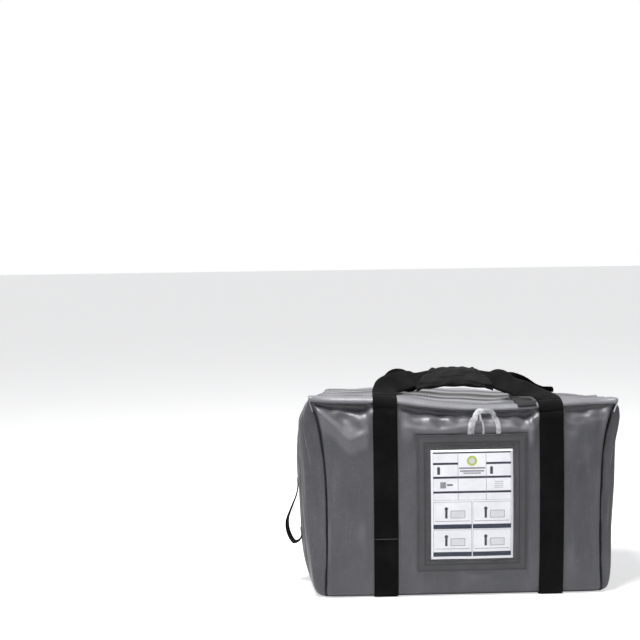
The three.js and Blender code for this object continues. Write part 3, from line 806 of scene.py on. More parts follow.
tie_middle = pocket_middle + 0.026
tie_outer = tie_band("tie_loop_outer", tie_middle, tie_span, tie_rise, tie_width, 0.0012)
tie_inner = tie_band("tie_loop_inner", tie_middle - 0.012, 0.021, tie_rise - 0.008, 0.0045, 0.0006)
print("tie loop top", round(float(points_of(tie_outer)[:, 2].max()), 4))

# %% [markdown]
# The closing tab lies over the flap's hem, beside the right webbing; its dark cloth is partly a
# painted shadow of the handle there. The end loop is webbing that is held flat at both ends and
# stands out between them by its own stiffness, a little twisted.

# %% Closing tab and end loop
tab_width = 0.039
tab_middle = right_middle - webbing_width / 2 - 2 * seat_gap - tab_width / 2 - 0.003
tab_runs = np.linspace(0.6875, 1 + row_step, 40)
tab_lifts = np.full(len(tab_runs), flap_gap + flap_thickness + 0.0045)
tab_path, tab_across = laid_path(tab_middle, tab_width, tab_runs, tab_lifts)
tab = strip("closing_tab_cloth", tab_path, tab_across, tab_width, 0.002, rows_across=10)

loop_width, loop_thickness, loop_top, loop_bottom, loop_reach = 0.028, 0.0026, 0.206, 0.094, 0.032
loop_span = loop_top - loop_bottom


def off_end(z, away):
    levels = np.linspace(0.02, 0.98, 400)
    heights = bag_skin(-1, 0, levels)[:, 2]
    place = bag_skin(-1, 0, np.interp(z, heights, levels))
    return place + np.array([-away, 0, 0])


flat = seat_gap + loop_thickness / 2 + 0.0028
loop_keys = [
    off_end(loop_top + 0.024, flat), off_end(loop_top + 0.008, flat),
    off_end(loop_top - 0.1 * loop_span, flat + 0.004),
    off_end(loop_top - 0.32 * loop_span, 0.6 * loop_reach),
    off_end(loop_top - 0.6 * loop_span, loop_reach),
    off_end(loop_bottom + 0.16 * loop_span, 0.98 * loop_reach),
    off_end(loop_bottom - 0.002, 0.66 * loop_reach), off_end(loop_bottom + 0.001, flat + 0.006),
    off_end(loop_bottom + 0.011, flat), off_end(loop_bottom + 0.027, flat),
]
loop_path = curve_through(loop_keys, 9)
loop_twist = 0.25 * np.sin(math.pi * np.linspace(0, 1, len(loop_path))) ** 2
loop_across = np.stack([loop_twist, np.ones(len(loop_path)), np.zeros(len(loop_path))], axis=1)
end_loop = strip("end_loop_webbing", loop_path, loop_across, loop_width, loop_thickness)
print("end loop reaches x", round(float(points_of(end_loop)[:, 0].min()), 4))

# %% [markdown]
# Where two panels meet, a folded tape binds their edges. It stands in the groove at each upright
# corner, a little uneven, as cloth is that was sewn from the inside and turned. A lighter tape
# A tape also finishes the two pinched front corners of the flap. Its pale grey is a painted
# highlight, where those edges catch the light.

# %% Bound seams
def corner_seam(name, end_sign, side_sign):
    levels = (1 + np.sin(np.linspace(-0.86, 0.82, 110) * math.pi / 2)) / 2
    corner = bag_skin(end_sign, side_sign, levels)
    out_x, out_y = 0.6 * end_sign, 0.8 * side_sign
    out = np.array([out_x, out_y, 0.0])
    wander = 0.0007 * np.sin(60 * corner[:, 2]) + 0.0004 * np.sin(140 * corner[:, 2] + 1)
    middles = corner + out * (-0.0016 + wander)[:, None]
    tangent_way = np.array([out_y, -out_x, 0.0])
    middles = middles + tangent_way * (0.0006 * np.sin(45 * corner[:, 2]))[:, None]
    return strip(name, middles, np.tile(out, (len(middles), 1)), 0.0056, 0.0022, rows_across=4)


seams = {
    f"{where}_binding": corner_seam(f"{where}_binding", end_sign, side_sign)
    for where, end_sign, side_sign in (
        ("front_left", -1, -1), ("front_right", 1, -1), ("rear_left", -1, 1), ("rear_right", 1, 1))
}


def ear_highlight_tape(name, end_sign):
    runs = np.linspace(1.0, 1.15, 24)
    place = ring_point(end_sign * 0.998, runs) + ring_normal(end_sign * 0.998, runs) * 0.0035
    place[:, 0] += end_sign * 0.0012
    across = np.tile([0.2 * end_sign, -1.0, 0.1], (len(runs), 1))
    return strip(name, place, across, 0.006, 0.0014, rows_across=4)


ear_left, ear_right = ear_highlight_tape("ear_tape_left", -1), ear_highlight_tape("ear_tape_right", 1)
print(len(seams), "bound seams")

# %% [markdown]
# Now the finishes. Three effects come back in several of them, so each is a node group with its own
# inputs: the over-and-under weave of cloth, a row of stitches, and a rectangle for the printed
# fields of the label. A group only puts out masks and heights; each material keeps its own shader.

# %% Node helpers
class Sheet:
    """Short ways to place and join nodes in one tree."""

    def __init__(self, tree):
        self.tree = tree

    def node(self, kind, **settings):
        made = self.tree.nodes.new(kind)
        for key, value in settings.items():
            setattr(made, key, value)
        return made

    def join(self, source, target):
        if isinstance(source, (int, float, tuple)):
            target.default_value = source
        else:
            self.tree.links.new(source, target)

    def math(self, operation, *values, clamp=False):
        made = self.node("ShaderNodeMath", operation=operation, use_clamp=clamp)
        for value, socket in zip(values, made.inputs):
            self.join(value, socket)
        return made.outputs[0]

    def noise(self, vector, scale, detail=3.0, roughness=0.55, squeeze=None):
        if squeeze:
            mapping = self.node("ShaderNodeMapping")
            mapping.inputs["Scale"].default_value = squeeze
            self.join(vector, mapping.inputs["Vector"])
            vector = mapping.outputs[0]
        made = self.node("ShaderNodeTexNoise")
        self.join(vector, made.inputs["Vector"])
        made.inputs["Scale"].default_value = scale
        made.inputs["Detail"].default_value = detail
        made.inputs["Roughness"].default_value = roughness
        return made.outputs["Fac"]

    def span(self, value, low, high, to_low=0.0, to_high=1.0):
        made = self.node("ShaderNodeMapRange")
        for source, name in ((value, "Value"), (low, "From Min"), (high, "From Max"),
                             (to_low, "To Min"), (to_high, "To Max")):
            self.join(source, made.inputs[name])
        return made.outputs["Result"]

    def blend(self, share, first, second):
        made = self.node("ShaderNodeMix", data_type="RGBA")
        self.join(share, made.inputs["Factor"])
        self.join(first, made.inputs["A"])
        self.join(second, made.inputs["B"])
        return made.outputs["Result"]

    def tint(self, colour, mask, share, ink):
        """Lays an ink over a colour where the mask is up, with at most this share."""
        return self.blend(self.math("MULTIPLY", mask, share), colour, ink)

    def split(self, vector):
        made = self.node("ShaderNodeSeparateXYZ")
        self.join(vector, made.inputs[0])
        return made.outputs

    def group(self, tree, **inputs):
        made = self.node("ShaderNodeGroup", node_tree=tree)
        for name, value in inputs.items():
            self.join(value, made.inputs[name.replace("_", " ")])
        return made.outputs


def new_group(name, inputs, outputs):
    tree = bpy.data.node_groups.new(name, "ShaderNodeTree")
    for label, kind, value in inputs:
        socket = tree.interface.new_socket(name=label, in_out="INPUT", socket_type=kind)
        if value is not None:
            socket.default_value = value
    for label in outputs:
        tree.interface.new_socket(name=label, in_out="OUTPUT", socket_type="NodeSocketFloat")
    sheet = Sheet(tree)
    return tree, sheet, sheet.node("NodeGroupInput").outputs, sheet.node("NodeGroupOutput").inputs


def grey(value, tint=0.0):
    """A display grey from 0 to 255 as a linear colour, a little blue where tint is above 0."""
    def linear(c):
        c = c / 255
        return c / 12.92 if c <= 0.04045 else ((c + 0.055) / 1.055) ** 2.4
    return (linear(value - tint / 2), linear(value - tint / 2), linear(value + tint), 1.0)


print("grey 128 is", round(grey(128)[0], 3))

# %% [markdown]
# The weave: across and along, each thread rises and dips as a sine, and a checker decides which of
# the two lies on top. The threads of real cloth are uneven, so noise moves the pattern a little.

# %% Weave
weave, ws, win, wout = new_group(
    "cloth_weave",
    [("Vector", "NodeSocketVector", None), ("Thread", "NodeSocketFloat", 0.001),
     ("Unevenness", "NodeSocketFloat", 0.3)],
    ["Height", "Mask"],
)
parts = ws.split(win["Vector"])
uneven = ws.math("SUBTRACT", ws.noise(win["Vector"], 160.0, 2.0), 0.5)
wander = ws.math("MULTIPLY", uneven, win["Unevenness"])
threads = []
for axis in (0, 1):
    count = ws.math("ADD", ws.math("DIVIDE", parts[axis], win["Thread"]), wander)
    threads.append(ws.math("SINE", ws.math("MULTIPLY", count, math.pi)))
over = ws.math("MULTIPLY", threads[0], threads[1])
height = ws.math("ADD", ws.math("MULTIPLY", over, 0.5), 0.5)
ws.join(height, wout["Height"])
ws.join(ws.math("GREATER_THAN", height, 0.62), wout["Mask"])
print(weave.name, len(weave.nodes), "nodes")

# %% [markdown]
# A row of stitches is a line at one place across the map, cut into dashes along it, with a wider
# dimple round it. A rectangle is full where a point is inside both of its spans.

# %% Stitches and rectangles
def numbers(**values):
    return [(label.replace("_", " "), "NodeSocketFloat", value) for label, value in values.items()]


stitches, ss, sin_, sout = new_group(
    "stitch_row", numbers(Across=0.0, Along=0.0, Place=0.0, Width=0.001, Length=0.005),
    ["Thread", "Dimple"])
off_row = ss.math("ABSOLUTE", ss.math("SUBTRACT", sin_["Across"], sin_["Place"]))
in_row = ss.span(off_row, 0.0, sin_["Width"], 1.0, 0.0)
phase = ss.math("FRACT", ss.math("DIVIDE", sin_["Along"], sin_["Length"]))
dash = ss.math("LESS_THAN", ss.math("ABSOLUTE", ss.math("SUBTRACT", phase, 0.5)), 0.36)
ss.join(ss.math("MULTIPLY", ss.math("GREATER_THAN", in_row, 0.25), dash), sout["Thread"])
ss.join(ss.span(off_row, 0.0, ss.math("MULTIPLY", sin_["Width"], 3.5), 1.0, 0.0), sout["Dimple"])

rectangle, rs, rin, rout = new_group(
    "printed_field", numbers(X=0.0, Y=0.0, Middle_X=0.0, Middle_Y=0.0, Half_X=0.1, Half_Y=0.1),
    ["Inside"])
off_edges = []
for axis in ("X", "Y"):
    off_middle = rs.math("ABSOLUTE", rs.math("SUBTRACT", rin[axis], rin[f"Middle {axis}"]))
    off_edges.append(rs.math("SUBTRACT", rin[f"Half {axis}"], off_middle))
rs.join(rs.span(rs.math("MINIMUM", *off_edges), -0.0003, 0.0003), rout["Inside"])
for tree in (stitches, rectangle):
    print(tree.name, len(tree.nodes), "nodes")

# %% [markdown]
# Each finish starts from the same few nodes: one Principled shader, the piece's own map in metres
# and the Object coordinates. What is the same all over a surface, such as the strength of the
# sheen, is set on the shader itself.

# %% A new finish
def new_finish(name, **sockets):
    material = bpy.data.materials.new(name)
    material.use_nodes = True
    sheet = Sheet(material.node_tree)
    shader = material.node_tree.nodes["Principled BSDF"]
    for label, value in sockets.items():
        shader.inputs[label.replace("_", " ")].default_value = value
    place = sheet.node("ShaderNodeTexCoord")
    return material, sheet, shader, place.outputs["UV"], place.outputs["Object"]


def raise_surface(sheet, shader, height, distance, strength=1.0):
    bump_node = sheet.node("ShaderNodeBump")
    bump_node.inputs["Strength"].default_value = strength
    bump_node.inputs["Distance"].default_value = distance
    sheet.join(height, bump_node.inputs["Height"])
    sheet.join(bump_node.outputs[0], shader.inputs["Normal"])


# %% [markdown]
# The bag's cloth is a coated weave: mid grey, a little blue, with a broad soft shine. On the crests
# of the front's folds, marked by an attribute on the mesh, it is lightened: a painted highlight,
# and partly pale wear of the coating. Handling has left faint upright smears.

# %% Coated cloth
def coated_cloth(name, shade, coat, ply_rows=()):
    material, sheet, shader, uv, place = new_finish(
        name, Specular_IOR_Level=0.35, Sheen_Weight=0.05, Sheen_Roughness=0.5,
        Coat_Weight=coat, Coat_Roughness=0.34)
    cloth = sheet.group(weave, Vector=uv, Thread=0.0019, Unevenness=0.5)
    mottle = sheet.noise(place, 9.0, 4.0)
    smear = sheet.noise(place, 26.0, 3.0, squeeze=(1.0, 1.0, 0.22))
    grain = sheet.noise(place, 420.0, 2.0, 0.6)
    scuffs = sheet.span(sheet.noise(place, 60.0, 5.0, 0.7), 0.56, 0.72)
    colour = sheet.blend(sheet.span(mottle, 0.3, 0.7), grey(shade - 7, 3), grey(shade + 7, 4))
    colour = sheet.tint(colour, sheet.span(smear, 0.5, 0.75), 0.36, grey(shade + 34, 3))
    streak = sheet.noise(place, 150.0, 4.0, 0.7, squeeze=(1.0, 1.0, 0.12))
    colour = sheet.tint(colour, sheet.span(streak, 0.5, 0.8), 0.30, grey(shade + 30, 2))
    colour = sheet.tint(colour, cloth["Mask"], 0.24, grey(shade + 34, 4))
    colour = sheet.tint(colour, sheet.span(grain, 0.35, 0.7), 0.34, grey(shade - 26, 0))
    # Painted highlight on the crests of the front's folds, partly pale wear of the coating.
    if name == "coated_cloth":
        crest_light_wear = sheet.node("ShaderNodeAttribute", attribute_name="crest_highlight_wear")
        crest_lightening = sheet.math("MULTIPLY", crest_light_wear.outputs["Fac"], sheet.span(grain, 0.2, 0.7, 0.35, 0.8))
        colour = sheet.tint(colour, crest_lightening, 0.6, grey(shade + 58, 4))
    colour = sheet.tint(colour, scuffs, 0.16, grey(shade + 50, 2))
    height = sheet.math("MULTIPLY", cloth["Height"], 0.35)
    height = sheet.math("ADD", height, sheet.math("MULTIPLY", grain, 0.25))
    height = sheet.math("ADD", height, sheet.math("MULTIPLY", sheet.noise(place, 34.0, 3.0), 1.6))
    along, across, _ = sheet.split(uv)
    for row in ply_rows:
        sewn = sheet.group(stitches, Across=across, Along=along, Place=row,
                           Width=0.0022, Length=0.0068)
        # Darkening the dimple round the stitches is painted shade in that hollow.
        colour = sheet.tint(colour, sewn["Dimple"], 0.35, grey(shade - 34, 2))
        colour = sheet.tint(colour, sewn["Thread"], 0.85, grey(30, 1))
        height = sheet.math("SUBTRACT", height, sheet.math("MULTIPLY", sewn["Dimple"], 0.8))
    sheet.join(colour, shader.inputs["Base Color"])
    gloss = sheet.span(sheet.noise(place, 18.0, 4.0), 0.3, 0.7, 0.36, 0.46)
    roughness = sheet.math("ADD", gloss, sheet.math("MULTIPLY", scuffs, 0.10))
    sheet.join(roughness, shader.inputs["Roughness"])
    raise_surface(sheet, shader, height, 0.0007, 0.9)
    return material


bag_finish = coated_cloth("coated_cloth", 65, 0.38)
flap_rows = (-0.112, -0.089, -0.081, -0.036, -0.029, 0.016, 0.023, 0.070, 0.077)
# The flap is the same cloth as the body, painted lighter: a painted highlight for the light from
# above on the top.
flap_painted_light_finish = coated_cloth("flap_cloth_painted_lighter", 106, 0.6, flap_rows)
for finish in (bag_finish, flap_painted_light_finish):
    print(finish.name, len(finish.node_tree.nodes), "nodes")

# %% [markdown]
# Webbing is woven in ribs along its length, with a firm selvedge at both edges. Black polyester
# takes a dull sheen where it curves over the flap, and a little lint shows on its flat faces.

# %% Webbing
def webbing_finish(name, half_width, shade):
    material, sheet, shader, uv, place = new_finish(
        name, Specular_IOR_Level=0.06, Sheen_Weight=0.02, Sheen_Roughness=0.4)
    across, along, _ = sheet.split(uv)
    rib = sheet.math("SINE", sheet.math("MULTIPLY", across, 2 * math.pi / 0.0021))
    pick = sheet.math("SINE", sheet.math("ADD", sheet.math("MULTIPLY", along, 2 * math.pi / 0.0024),
                                         sheet.math("MULTIPLY", across, math.pi / 0.0032)))
    twill = sheet.math("MULTIPLY", sheet.math("ADD", rib, 1.0), sheet.math("ADD", pick, 1.4))
    selvedge = sheet.span(sheet.math("ABSOLUTE", across), half_width - 0.0035, half_width - 0.0015)
    lint = sheet.span(sheet.noise(place, 240.0, 4.0, 0.7), 0.62, 0.78)
    wear = sheet.span(sheet.noise(place, 14.0, 4.0), 0.42, 0.68)
    colour = sheet.blend(wear, grey(shade - 5, 0), grey(shade + 7, 1))
    colour = sheet.tint(colour, sheet.span(twill, 0.0, 4.0), 0.25, grey(shade + 14, 1))
    colour = sheet.tint(colour, lint, 0.12, grey(80, 2))
    # A pale band at the start of every strip is a painted highlight, where the end of an
    # overlapping strap catches the light.
    end_highlight = sheet.span(along, 0.0006, 0.0014, 1.0, 0.0)
    colour = sheet.tint(colour, end_highlight, 0.6, grey(112, 2))
    colour = sheet.tint(colour, selvedge, 0.5, grey(shade - 7, 0))
    sheet.join(colour, shader.inputs["Base Color"])
    sheet.join(sheet.span(wear, 0.0, 1.0, 0.66, 0.54), shader.inputs["Roughness"])
    height = sheet.math("ADD", twill, sheet.math("MULTIPLY", selvedge, 1.5))
    raise_surface(sheet, shader, height, 0.0002, 0.8)
    return material


webbing_black = webbing_finish("black_webbing", webbing_width / 2, 8)
loop_black = webbing_finish("black_loop_webbing", loop_width / 2, 10)
print(webbing_black.name, loop_black.name)

# %% [markdown]
# The grip's cloth is thinner and closer woven, so its folds are soft and slightly shiny.

# %% Grip cloth
grip_finish, gs, grip_shader, grip_uv, grip_place = new_finish(
    "grip_cloth", Specular_IOR_Level=0.10, Sheen_Weight=0.04, Sheen_Roughness=0.35)
grip_weave = gs.group(weave, Vector=grip_uv, Thread=0.0009, Unevenness=0.3)
grip_tone = gs.blend(gs.span(gs.noise(grip_place, 30.0, 4.0), 0.35, 0.7), grey(9, 0), grey(19, 1))
grip_tone = gs.tint(grip_tone, grip_weave["Mask"], 0.3, grey(36, 1))
gs.join(grip_tone, grip_shader.inputs["Base Color"])
gs.join(gs.span(gs.noise(grip_place, 50.0), 0.3, 0.7, 0.42, 0.6), grip_shader.inputs["Roughness"])
grip_grain = gs.math("MULTIPLY", gs.noise(grip_place, 120.0, 3.0, squeeze=(0.25, 1.0, 1.0)), 2.2)
raise_surface(gs, grip_shader, gs.math("ADD", grip_weave["Height"], grip_grain), 0.0005, 0.9)
print(grip_finish.name, len(grip_finish.node_tree.nodes), "nodes")

# %% [markdown]
# The pocket is a smooth dark coated cloth with a satin face. Two rows of stitches run round its
# border. They are drawn on the pocket's own map, by how far a point is from the nearest edge.

# %% Pocket cloth
pocket_finish, ps, pocket_shader, pocket_uv, pocket_place = new_finish(
    "pocket_coated_cloth", Specular_IOR_Level=0.3, Sheen_Weight=0.05, Sheen_Roughness=0.4)
pocket_x, pocket_y, _ = ps.split(pocket_uv)
side_off = ps.math("SUBTRACT", pocket_width / 2, ps.math("ABSOLUTE", pocket_x))
from_middle = ps.math("ABSOLUTE", ps.math("SUBTRACT", pocket_y, pocket_height / 2))
end_off = ps.math("SUBTRACT", pocket_height / 2, from_middle)
edge_off = ps.math("MINIMUM", side_off, end_off)
along_edge = ps.node("ShaderNodeMix", data_type="FLOAT")
ps.join(ps.math("LESS_THAN", side_off, end_off), along_edge.inputs["Factor"])
ps.join(pocket_x, along_edge.inputs["A"])
ps.join(pocket_y, along_edge.inputs["B"])
pocket_mottle = ps.span(ps.noise(pocket_place, 16.0, 4.0), 0.35, 0.68)
pocket_tone = ps.blend(pocket_mottle, grey(62, 1), grey(72, 2))
pocket_weave = ps.group(weave, Vector=pocket_uv, Thread=0.0012, Unevenness=0.3)
pocket_tone = ps.tint(pocket_tone, pocket_weave["Mask"], 0.12, grey(92, 2))
pocket_relief = ps.math("MULTIPLY", pocket_weave["Height"], 0.4)
for row, strength in ((0.0035, 0.6), (0.0165, 0.9)):
    sewn = ps.group(stitches, Across=edge_off, Along=along_edge.outputs["Result"], Place=row,
                    Width=0.0011, Length=0.0058)
    # Darkening the dimple round the stitches is painted shade in that hollow.
    pocket_tone = ps.tint(pocket_tone, sewn["Dimple"], 0.45 * strength, grey(34, 1))
    pocket_tone = ps.tint(pocket_tone, sewn["Thread"], 0.8 * strength, grey(26, 0))
    dimple = ps.math("MULTIPLY", sewn["Dimple"], 1.1)
    pocket_relief = ps.math("SUBTRACT", pocket_relief, dimple)
ps.join(pocket_tone, pocket_shader.inputs["Base Color"])
pocket_gloss = ps.span(ps.noise(pocket_place, 40.0), 0.3, 0.7, 0.34, 0.48)
ps.join(pocket_gloss, pocket_shader.inputs["Roughness"])
raise_surface(ps, pocket_shader, pocket_relief, 0.0006, 0.9)
print(pocket_finish.name, len(pocket_finish.node_tree.nodes), "nodes")

# %% [markdown]
# The tapes that bind the seams, and the closing tab, are plain woven cloth in three greys.

# %% Tapes
def tape_finish(name, shade):
    material, sheet, shader, uv, place = new_finish(
        name, Specular_IOR_Level=0.15, Sheen_Weight=0.05, Sheen_Roughness=0.5)
    rib = sheet.group(weave, Vector=uv, Thread=0.0011, Unevenness=0.3)
    mottle = sheet.span(sheet.noise(place, 45.0, 4.0), 0.3, 0.7)
    tone = sheet.blend(mottle, grey(shade - 7, 1), grey(shade + 7, 1))
    tone = sheet.tint(tone, rib["Mask"], 0.25, grey(shade + 26, 2))
    sheet.join(tone, shader.inputs["Base Color"])
    dullness = sheet.span(sheet.noise(place, 80.0), 0.3, 0.7, 0.55, 0.72)
    sheet.join(dullness, shader.inputs["Roughness"])
    raise_surface(sheet, shader, rib["Height"], 0.0004, 0.9)
    return material


# The ear tapes' pale grey is a painted highlight on the pinched corners' edges.
binding_finish, ear_highlight_finish = tape_finish("seam_tape", 34), tape_finish("ear_highlight_tape", 150)
# The tab's dark grey is partly a painted shadow of the handle beside it.
tab_and_shadow_finish = tape_finish("tab_cloth_painted_shadow", 30)
print(binding_finish.name, ear_highlight_finish.name, tab_and_shadow_finish.name)

# %% [markdown]
# The label is a white sheet with dark print. Every field is one rectangle group on the card's map,
# and a round is drawn by the distance from its middle.

# %% Label paper and print
card_finish, cs, card_shader, card_uv, card_place = new_finish(
    "printed_label", Specular_IOR_Level=0.45)
card_x, card_y, _ = cs.split(card_uv)
paper = cs.blend(cs.span(cs.noise(card_place, 20.0, 3.0), 0.3, 0.7), grey(232, 3), grey(240, 4))
print_grain = cs.span(cs.noise(card_place, 300.0, 2.0), 0.3, 0.7)
navy = cs.blend(print_grain, (0.012, 0.017, 0.036, 1), (0.018, 0.024, 0.048, 1))


def print_field(colour, left, right, low, high, ink, strength=1.0):
    inside = cs.group(
        rectangle, X=card_x, Y=card_y, Middle_X=(left + right) / 2, Middle_Y=(low + high) / 2,
        Half_X=(right - left) / 2, Half_Y=(high - low) / 2)["Inside"]
    return cs.tint(colour, inside, strength, ink)


def print_round(colour, middle_x, middle_y, radius, ink):
    dx = cs.math("SUBTRACT", card_x, middle_x)
    dy = cs.math("SUBTRACT", card_y, middle_y)
    squares = [cs.math("MULTIPLY", off, off) for off in (dx, dy)]
    distance = cs.math("SQRT", cs.math("ADD", *squares))
    return cs.blend(cs.span(distance, radius + 0.0004, radius - 0.0004), colour, ink)


print("card", card_width, "x", card_height, "m")

# %% [markdown]
# The label carries only bare generic fields. Its upper half is a table of dark bars and thin rules,
# with a round and short lines in the middle. Its lower half is four panels, each with a dark bar,
# a short upright with a round on it, a box and a rule.

# %% Label fields
rule = grey(120, 4)
half_card = card_width / 2
margin = 0.0045
left_edge, right_edge = -half_card + margin, half_card - margin
column_one, column_two = -0.029, 0.029
table_low, table_high = 0.124, 0.2235
ink = paper
ink = print_field(ink, left_edge, right_edge, table_low, table_high, rule)
ink = print_field(
    ink, left_edge + 0.0005, right_edge - 0.0005, table_low + 0.0005, table_high - 0.0005, paper)
bar = 0.0045
for low in (0.1975, 0.1690, 0.1385):
    ink = print_field(ink, left_edge, column_one, low, low + bar, navy)
    ink = print_field(ink, column_two, right_edge, low, low + bar, navy)
for low in (0.1690, 0.1385):
    ink = print_field(ink, column_one, column_two, low, low + bar, navy)
ink = print_field(ink, left_edge, right_edge, table_high - 0.003, table_high, navy)
for upright in (column_one, column_two):
    ink = print_field(ink, upright - 0.0004, upright + 0.0004, table_low, table_high, rule)
for middle_x in (-0.069, 0.040):
    ink = print_field(ink, middle_x - 0.003, middle_x + 0.003, 0.1775, 0.1895, grey(60, 6))
    ink = print_round(ink, middle_x, 0.1905, 0.0030, grey(60, 6))
ink = print_field(ink, -0.066, -0.054, 0.1490, 0.1620, grey(140, 4))
ink = print_field(ink, -0.052, -0.040, 0.1540, 0.1575, grey(90, 5))
for low in (0.1490, 0.1530, 0.1570, 0.1610):
    ink = print_field(ink, 0.046, 0.064, low, low + 0.0014, grey(165, 4))
ink = print_round(ink, 0.0, 0.2050, 0.0105, (0.42, 0.50, 0.05, 1))
ink = print_round(ink, 0.0, 0.2050, 0.0062, grey(205, 6))
for low, half, shade in ((0.1885, 0.027, 70), (0.1825, 0.025, 95), (0.1780, 0.018, 130)):
    ink = print_field(ink, -half, half, low, low + 0.0032, grey(shade, 6), 0.8)
panel_low, panel_high, panel_middle, panel_bar = 0.0055, 0.1205, 0.0, 0.0095
mid_row = (panel_low + panel_high) / 2
for left, right in ((left_edge, panel_middle - 0.001), (panel_middle + 0.001, right_edge)):
    for low, high in ((panel_low, mid_row - 0.001), (mid_row + 0.001, panel_high)):
        ink = print_field(ink, left, right, low, high, rule)
        ink = print_field(ink, left + 0.0007, right - 0.0007, low + 0.0007, high - 0.0007, paper)
        ink = print_field(ink, left, right, low, low + panel_bar, navy)
        middle_x, middle_y = (left + right) / 2, (low + high) / 2
        for from_x, to_x, from_y, to_y, tone in (
                (-0.0155, -0.0105, -0.006, 0.013, grey(50, 8)),
                (-0.004, 0.026, -0.006, 0.010, grey(120, 5)),
                (-0.003, 0.025, -0.005, 0.009, grey(216, 4))):
            ink = print_field(
                ink, middle_x + from_x, middle_x + to_x, middle_y + from_y, middle_y + to_y, tone)
        ink = print_round(ink, middle_x - 0.013, middle_y + 0.0140, 0.0036, grey(50, 8))
        ink = print_field(
            ink, left + 0.004, right - 0.004, middle_y - 0.0125, middle_y - 0.0115, grey(120, 5))
cs.join(ink, card_shader.inputs["Base Color"])
cs.join(cs.span(cs.noise(card_place, 60.0), 0.3, 0.7, 0.38, 0.5), card_shader.inputs["Roughness"])
raise_surface(cs, card_shader, cs.noise(card_place, 26.0, 2.0), 0.0006, 0.5)
print("label nodes", len(card_finish.node_tree.nodes))

# %% [markdown]
# Clear film is mostly seen by its reflections, which are broken by its waves. A low alpha lets the
# label show, and a little more stays where fine scratches haze the film.

# %% Clear film
def film_finish(name, shade, low_alpha, high_alpha, roughness, wave):
    material, sheet, shader, uv, place = new_finish(name, IOR=1.45, Specular_IOR_Level=0.6)
    haze = sheet.span(sheet.noise(place, 38.0, 5.0, 0.65), 0.42, 0.72)
    tone = sheet.blend(haze, grey(shade - 8, 2), grey(shade + 8, 3))
    sheet.join(tone, shader.inputs["Base Color"])
    sheet.join(sheet.span(haze, 0.0, 1.0, low_alpha, high_alpha), shader.inputs["Alpha"])
    sheet.join(sheet.span(haze, 0.0, 1.0, roughness, roughness + 0.12), shader.inputs["Roughness"])
    raise_surface(sheet, shader, sheet.noise(place, 22.0, 3.0), wave, 0.8)
    return material


window_finish = film_finish("window_film", 90, 0.02, 0.05, 0.16, 0.0015)
tie_finish = film_finish("tie_film", 215, 0.28, 0.72, 0.24, 0.0012)
print(window_finish.name, tie_finish.name)

# %% [markdown]
# Every piece now gets its finish, rides on the one body and stands for its CAD solids. The
# imported bag is a stuffed piece.

# %% Dress and place the pieces
pieces = [
    (bag, bag_finish, "coated_fabric", ["valise_body"]),
    (flap, flap_painted_light_finish, "coated_fabric", ["top_flap"]),
    (runs_round["webbing_round_left"], webbing_black, "webbing", ["webbing_left"]),
    (runs_round["webbing_round_right"], webbing_black, "webbing", ["webbing_right"]),
    (handle_front, webbing_black, "webbing", ["handle_front"]),
    (handle_rear, webbing_black, "webbing", ["handle_rear"]),
    (grip, grip_finish, "grip_fabric", ["handle_grip"]),
    (tab, tab_and_shadow_finish, "webbing", ["closing_tab"]),
    (pocket, pocket_finish, "pocket_fabric", ["pocket_panel", "pocket_border"]),
    (card, card_finish, "card", ["label_card"]),
    (window, window_finish, "clear_film", ["pocket_window"]),
    (tie_outer, tie_finish, "clear_film", ["tie_loop"]),
    (tie_inner, tie_finish, "clear_film", []),
    (end_loop, loop_black, "webbing", ["end_loop"]),
    (seams["front_left_binding"], binding_finish, "seam_binding", ["seam_front_left"]),
    (seams["front_right_binding"], binding_finish, "seam_binding", ["seam_front_right"]),
    (seams["rear_left_binding"], binding_finish, "seam_binding", ["seam_rear_left"]),
    (seams["rear_right_binding"], binding_finish, "seam_binding", ["seam_rear_right"]),
    (ear_left, ear_highlight_finish, "seam_binding", []),
    (ear_right, ear_highlight_finish, "seam_binding", []),
]
for piece, finish, slot, nodes in pieces:
    piece.data.materials.clear()
    piece.data.materials.append(finish)
    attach(piece, "root")
    if nodes:
        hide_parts(*nodes)
print(len(pieces), "pieces,", sum(len(piece[0].data.polygons) for piece in pieces), "faces")

# %% [markdown]
# The floor is plain and pale. It glows a little for camera rays only, so it stays pale far off and
# still keeps the bag's shadow.

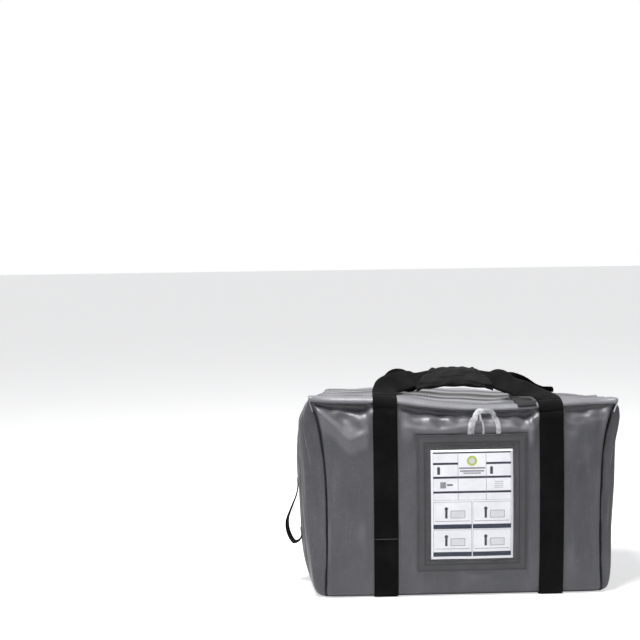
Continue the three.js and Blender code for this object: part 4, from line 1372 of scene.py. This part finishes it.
# %% Floor
start_clean()
bpy.ops.mesh.primitive_plane_add(size=60)
floor = bpy.context.object
floor.name = "floor"
floor_finish, fs, floor_shader, _, floor_place = new_finish(
    "pale_floor", Roughness=0.9, Specular_IOR_Level=0.1)
floor_tone = fs.blend(fs.span(fs.noise(floor_place, 3.0), 0.3, 0.7), grey(236), grey(240))
fs.join(floor_tone, floor_shader.inputs["Base Color"])
seen = fs.node("ShaderNodeLightPath").outputs["Is Camera Ray"]
floor_shader.inputs["Emission Color"].default_value = (1, 1, 1, 1)
fs.join(fs.math("MULTIPLY", seen, 0.6), floor_shader.inputs["Emission Strength"])
floor.data.materials.append(floor_finish)
print("floor at z", floor.location.z)

# %% [markdown]
# The world is pale, and white for camera and glossy rays. There are two soft lamps: a strong one
# high up, which lights the top and the upper sides of the folds as in the photograph, and a weak
# one that fills the front.

# %% World and lamps
scene = bpy.context.scene
scene.view_settings.view_transform = "Standard"
world = scene.world or bpy.data.worlds.new("studio")
scene.world = world
world.use_nodes = True
world_sheet = Sheet(world.node_tree)
world.node_tree.nodes.clear()
ambient = world_sheet.node("ShaderNodeBackground")
ambient.inputs["Color"].default_value = (0.93, 0.95, 1.0, 1)
ambient.inputs["Strength"].default_value = 0.20
backdrop = world_sheet.node("ShaderNodeBackground")
backdrop.inputs["Color"].default_value = (1, 1, 1, 1)
backdrop.inputs["Strength"].default_value = 1.0
path = world_sheet.node("ShaderNodeLightPath")
choose = world_sheet.node("ShaderNodeMixShader")
plain_rays = world_sheet.math(
    "MAXIMUM", path.outputs["Is Camera Ray"], path.outputs["Is Glossy Ray"])
world_sheet.join(plain_rays, choose.inputs[0])
world_sheet.join(ambient.outputs[0], choose.inputs[1])
world_sheet.join(backdrop.outputs[0], choose.inputs[2])
world_out = world_sheet.node("ShaderNodeOutputWorld")
world_sheet.join(choose.outputs[0], world_out.inputs["Surface"])


def soft_lamp(name, place, aim, size, power):
    start_clean()
    bpy.ops.object.light_add(type="AREA", location=place)
    lamp = bpy.context.object
    lamp.name = name
    lamp.data.shape = "DISK"
    lamp.data.size = size
    lamp.data.energy = power
    lamp.rotation_euler = (Vector(aim) - Vector(place)).to_track_quat("-Z", "Y").to_euler()
    return lamp


soft_lamp("high_lamp", (-0.55, -0.62, 2.3), (0, 0, 0.3), 0.9, 92)
soft_lamp("front_lamp", (0.9, -2.6, 1.1), (0, 0, 0.2), 2.0, 5)
print("lamps placed")
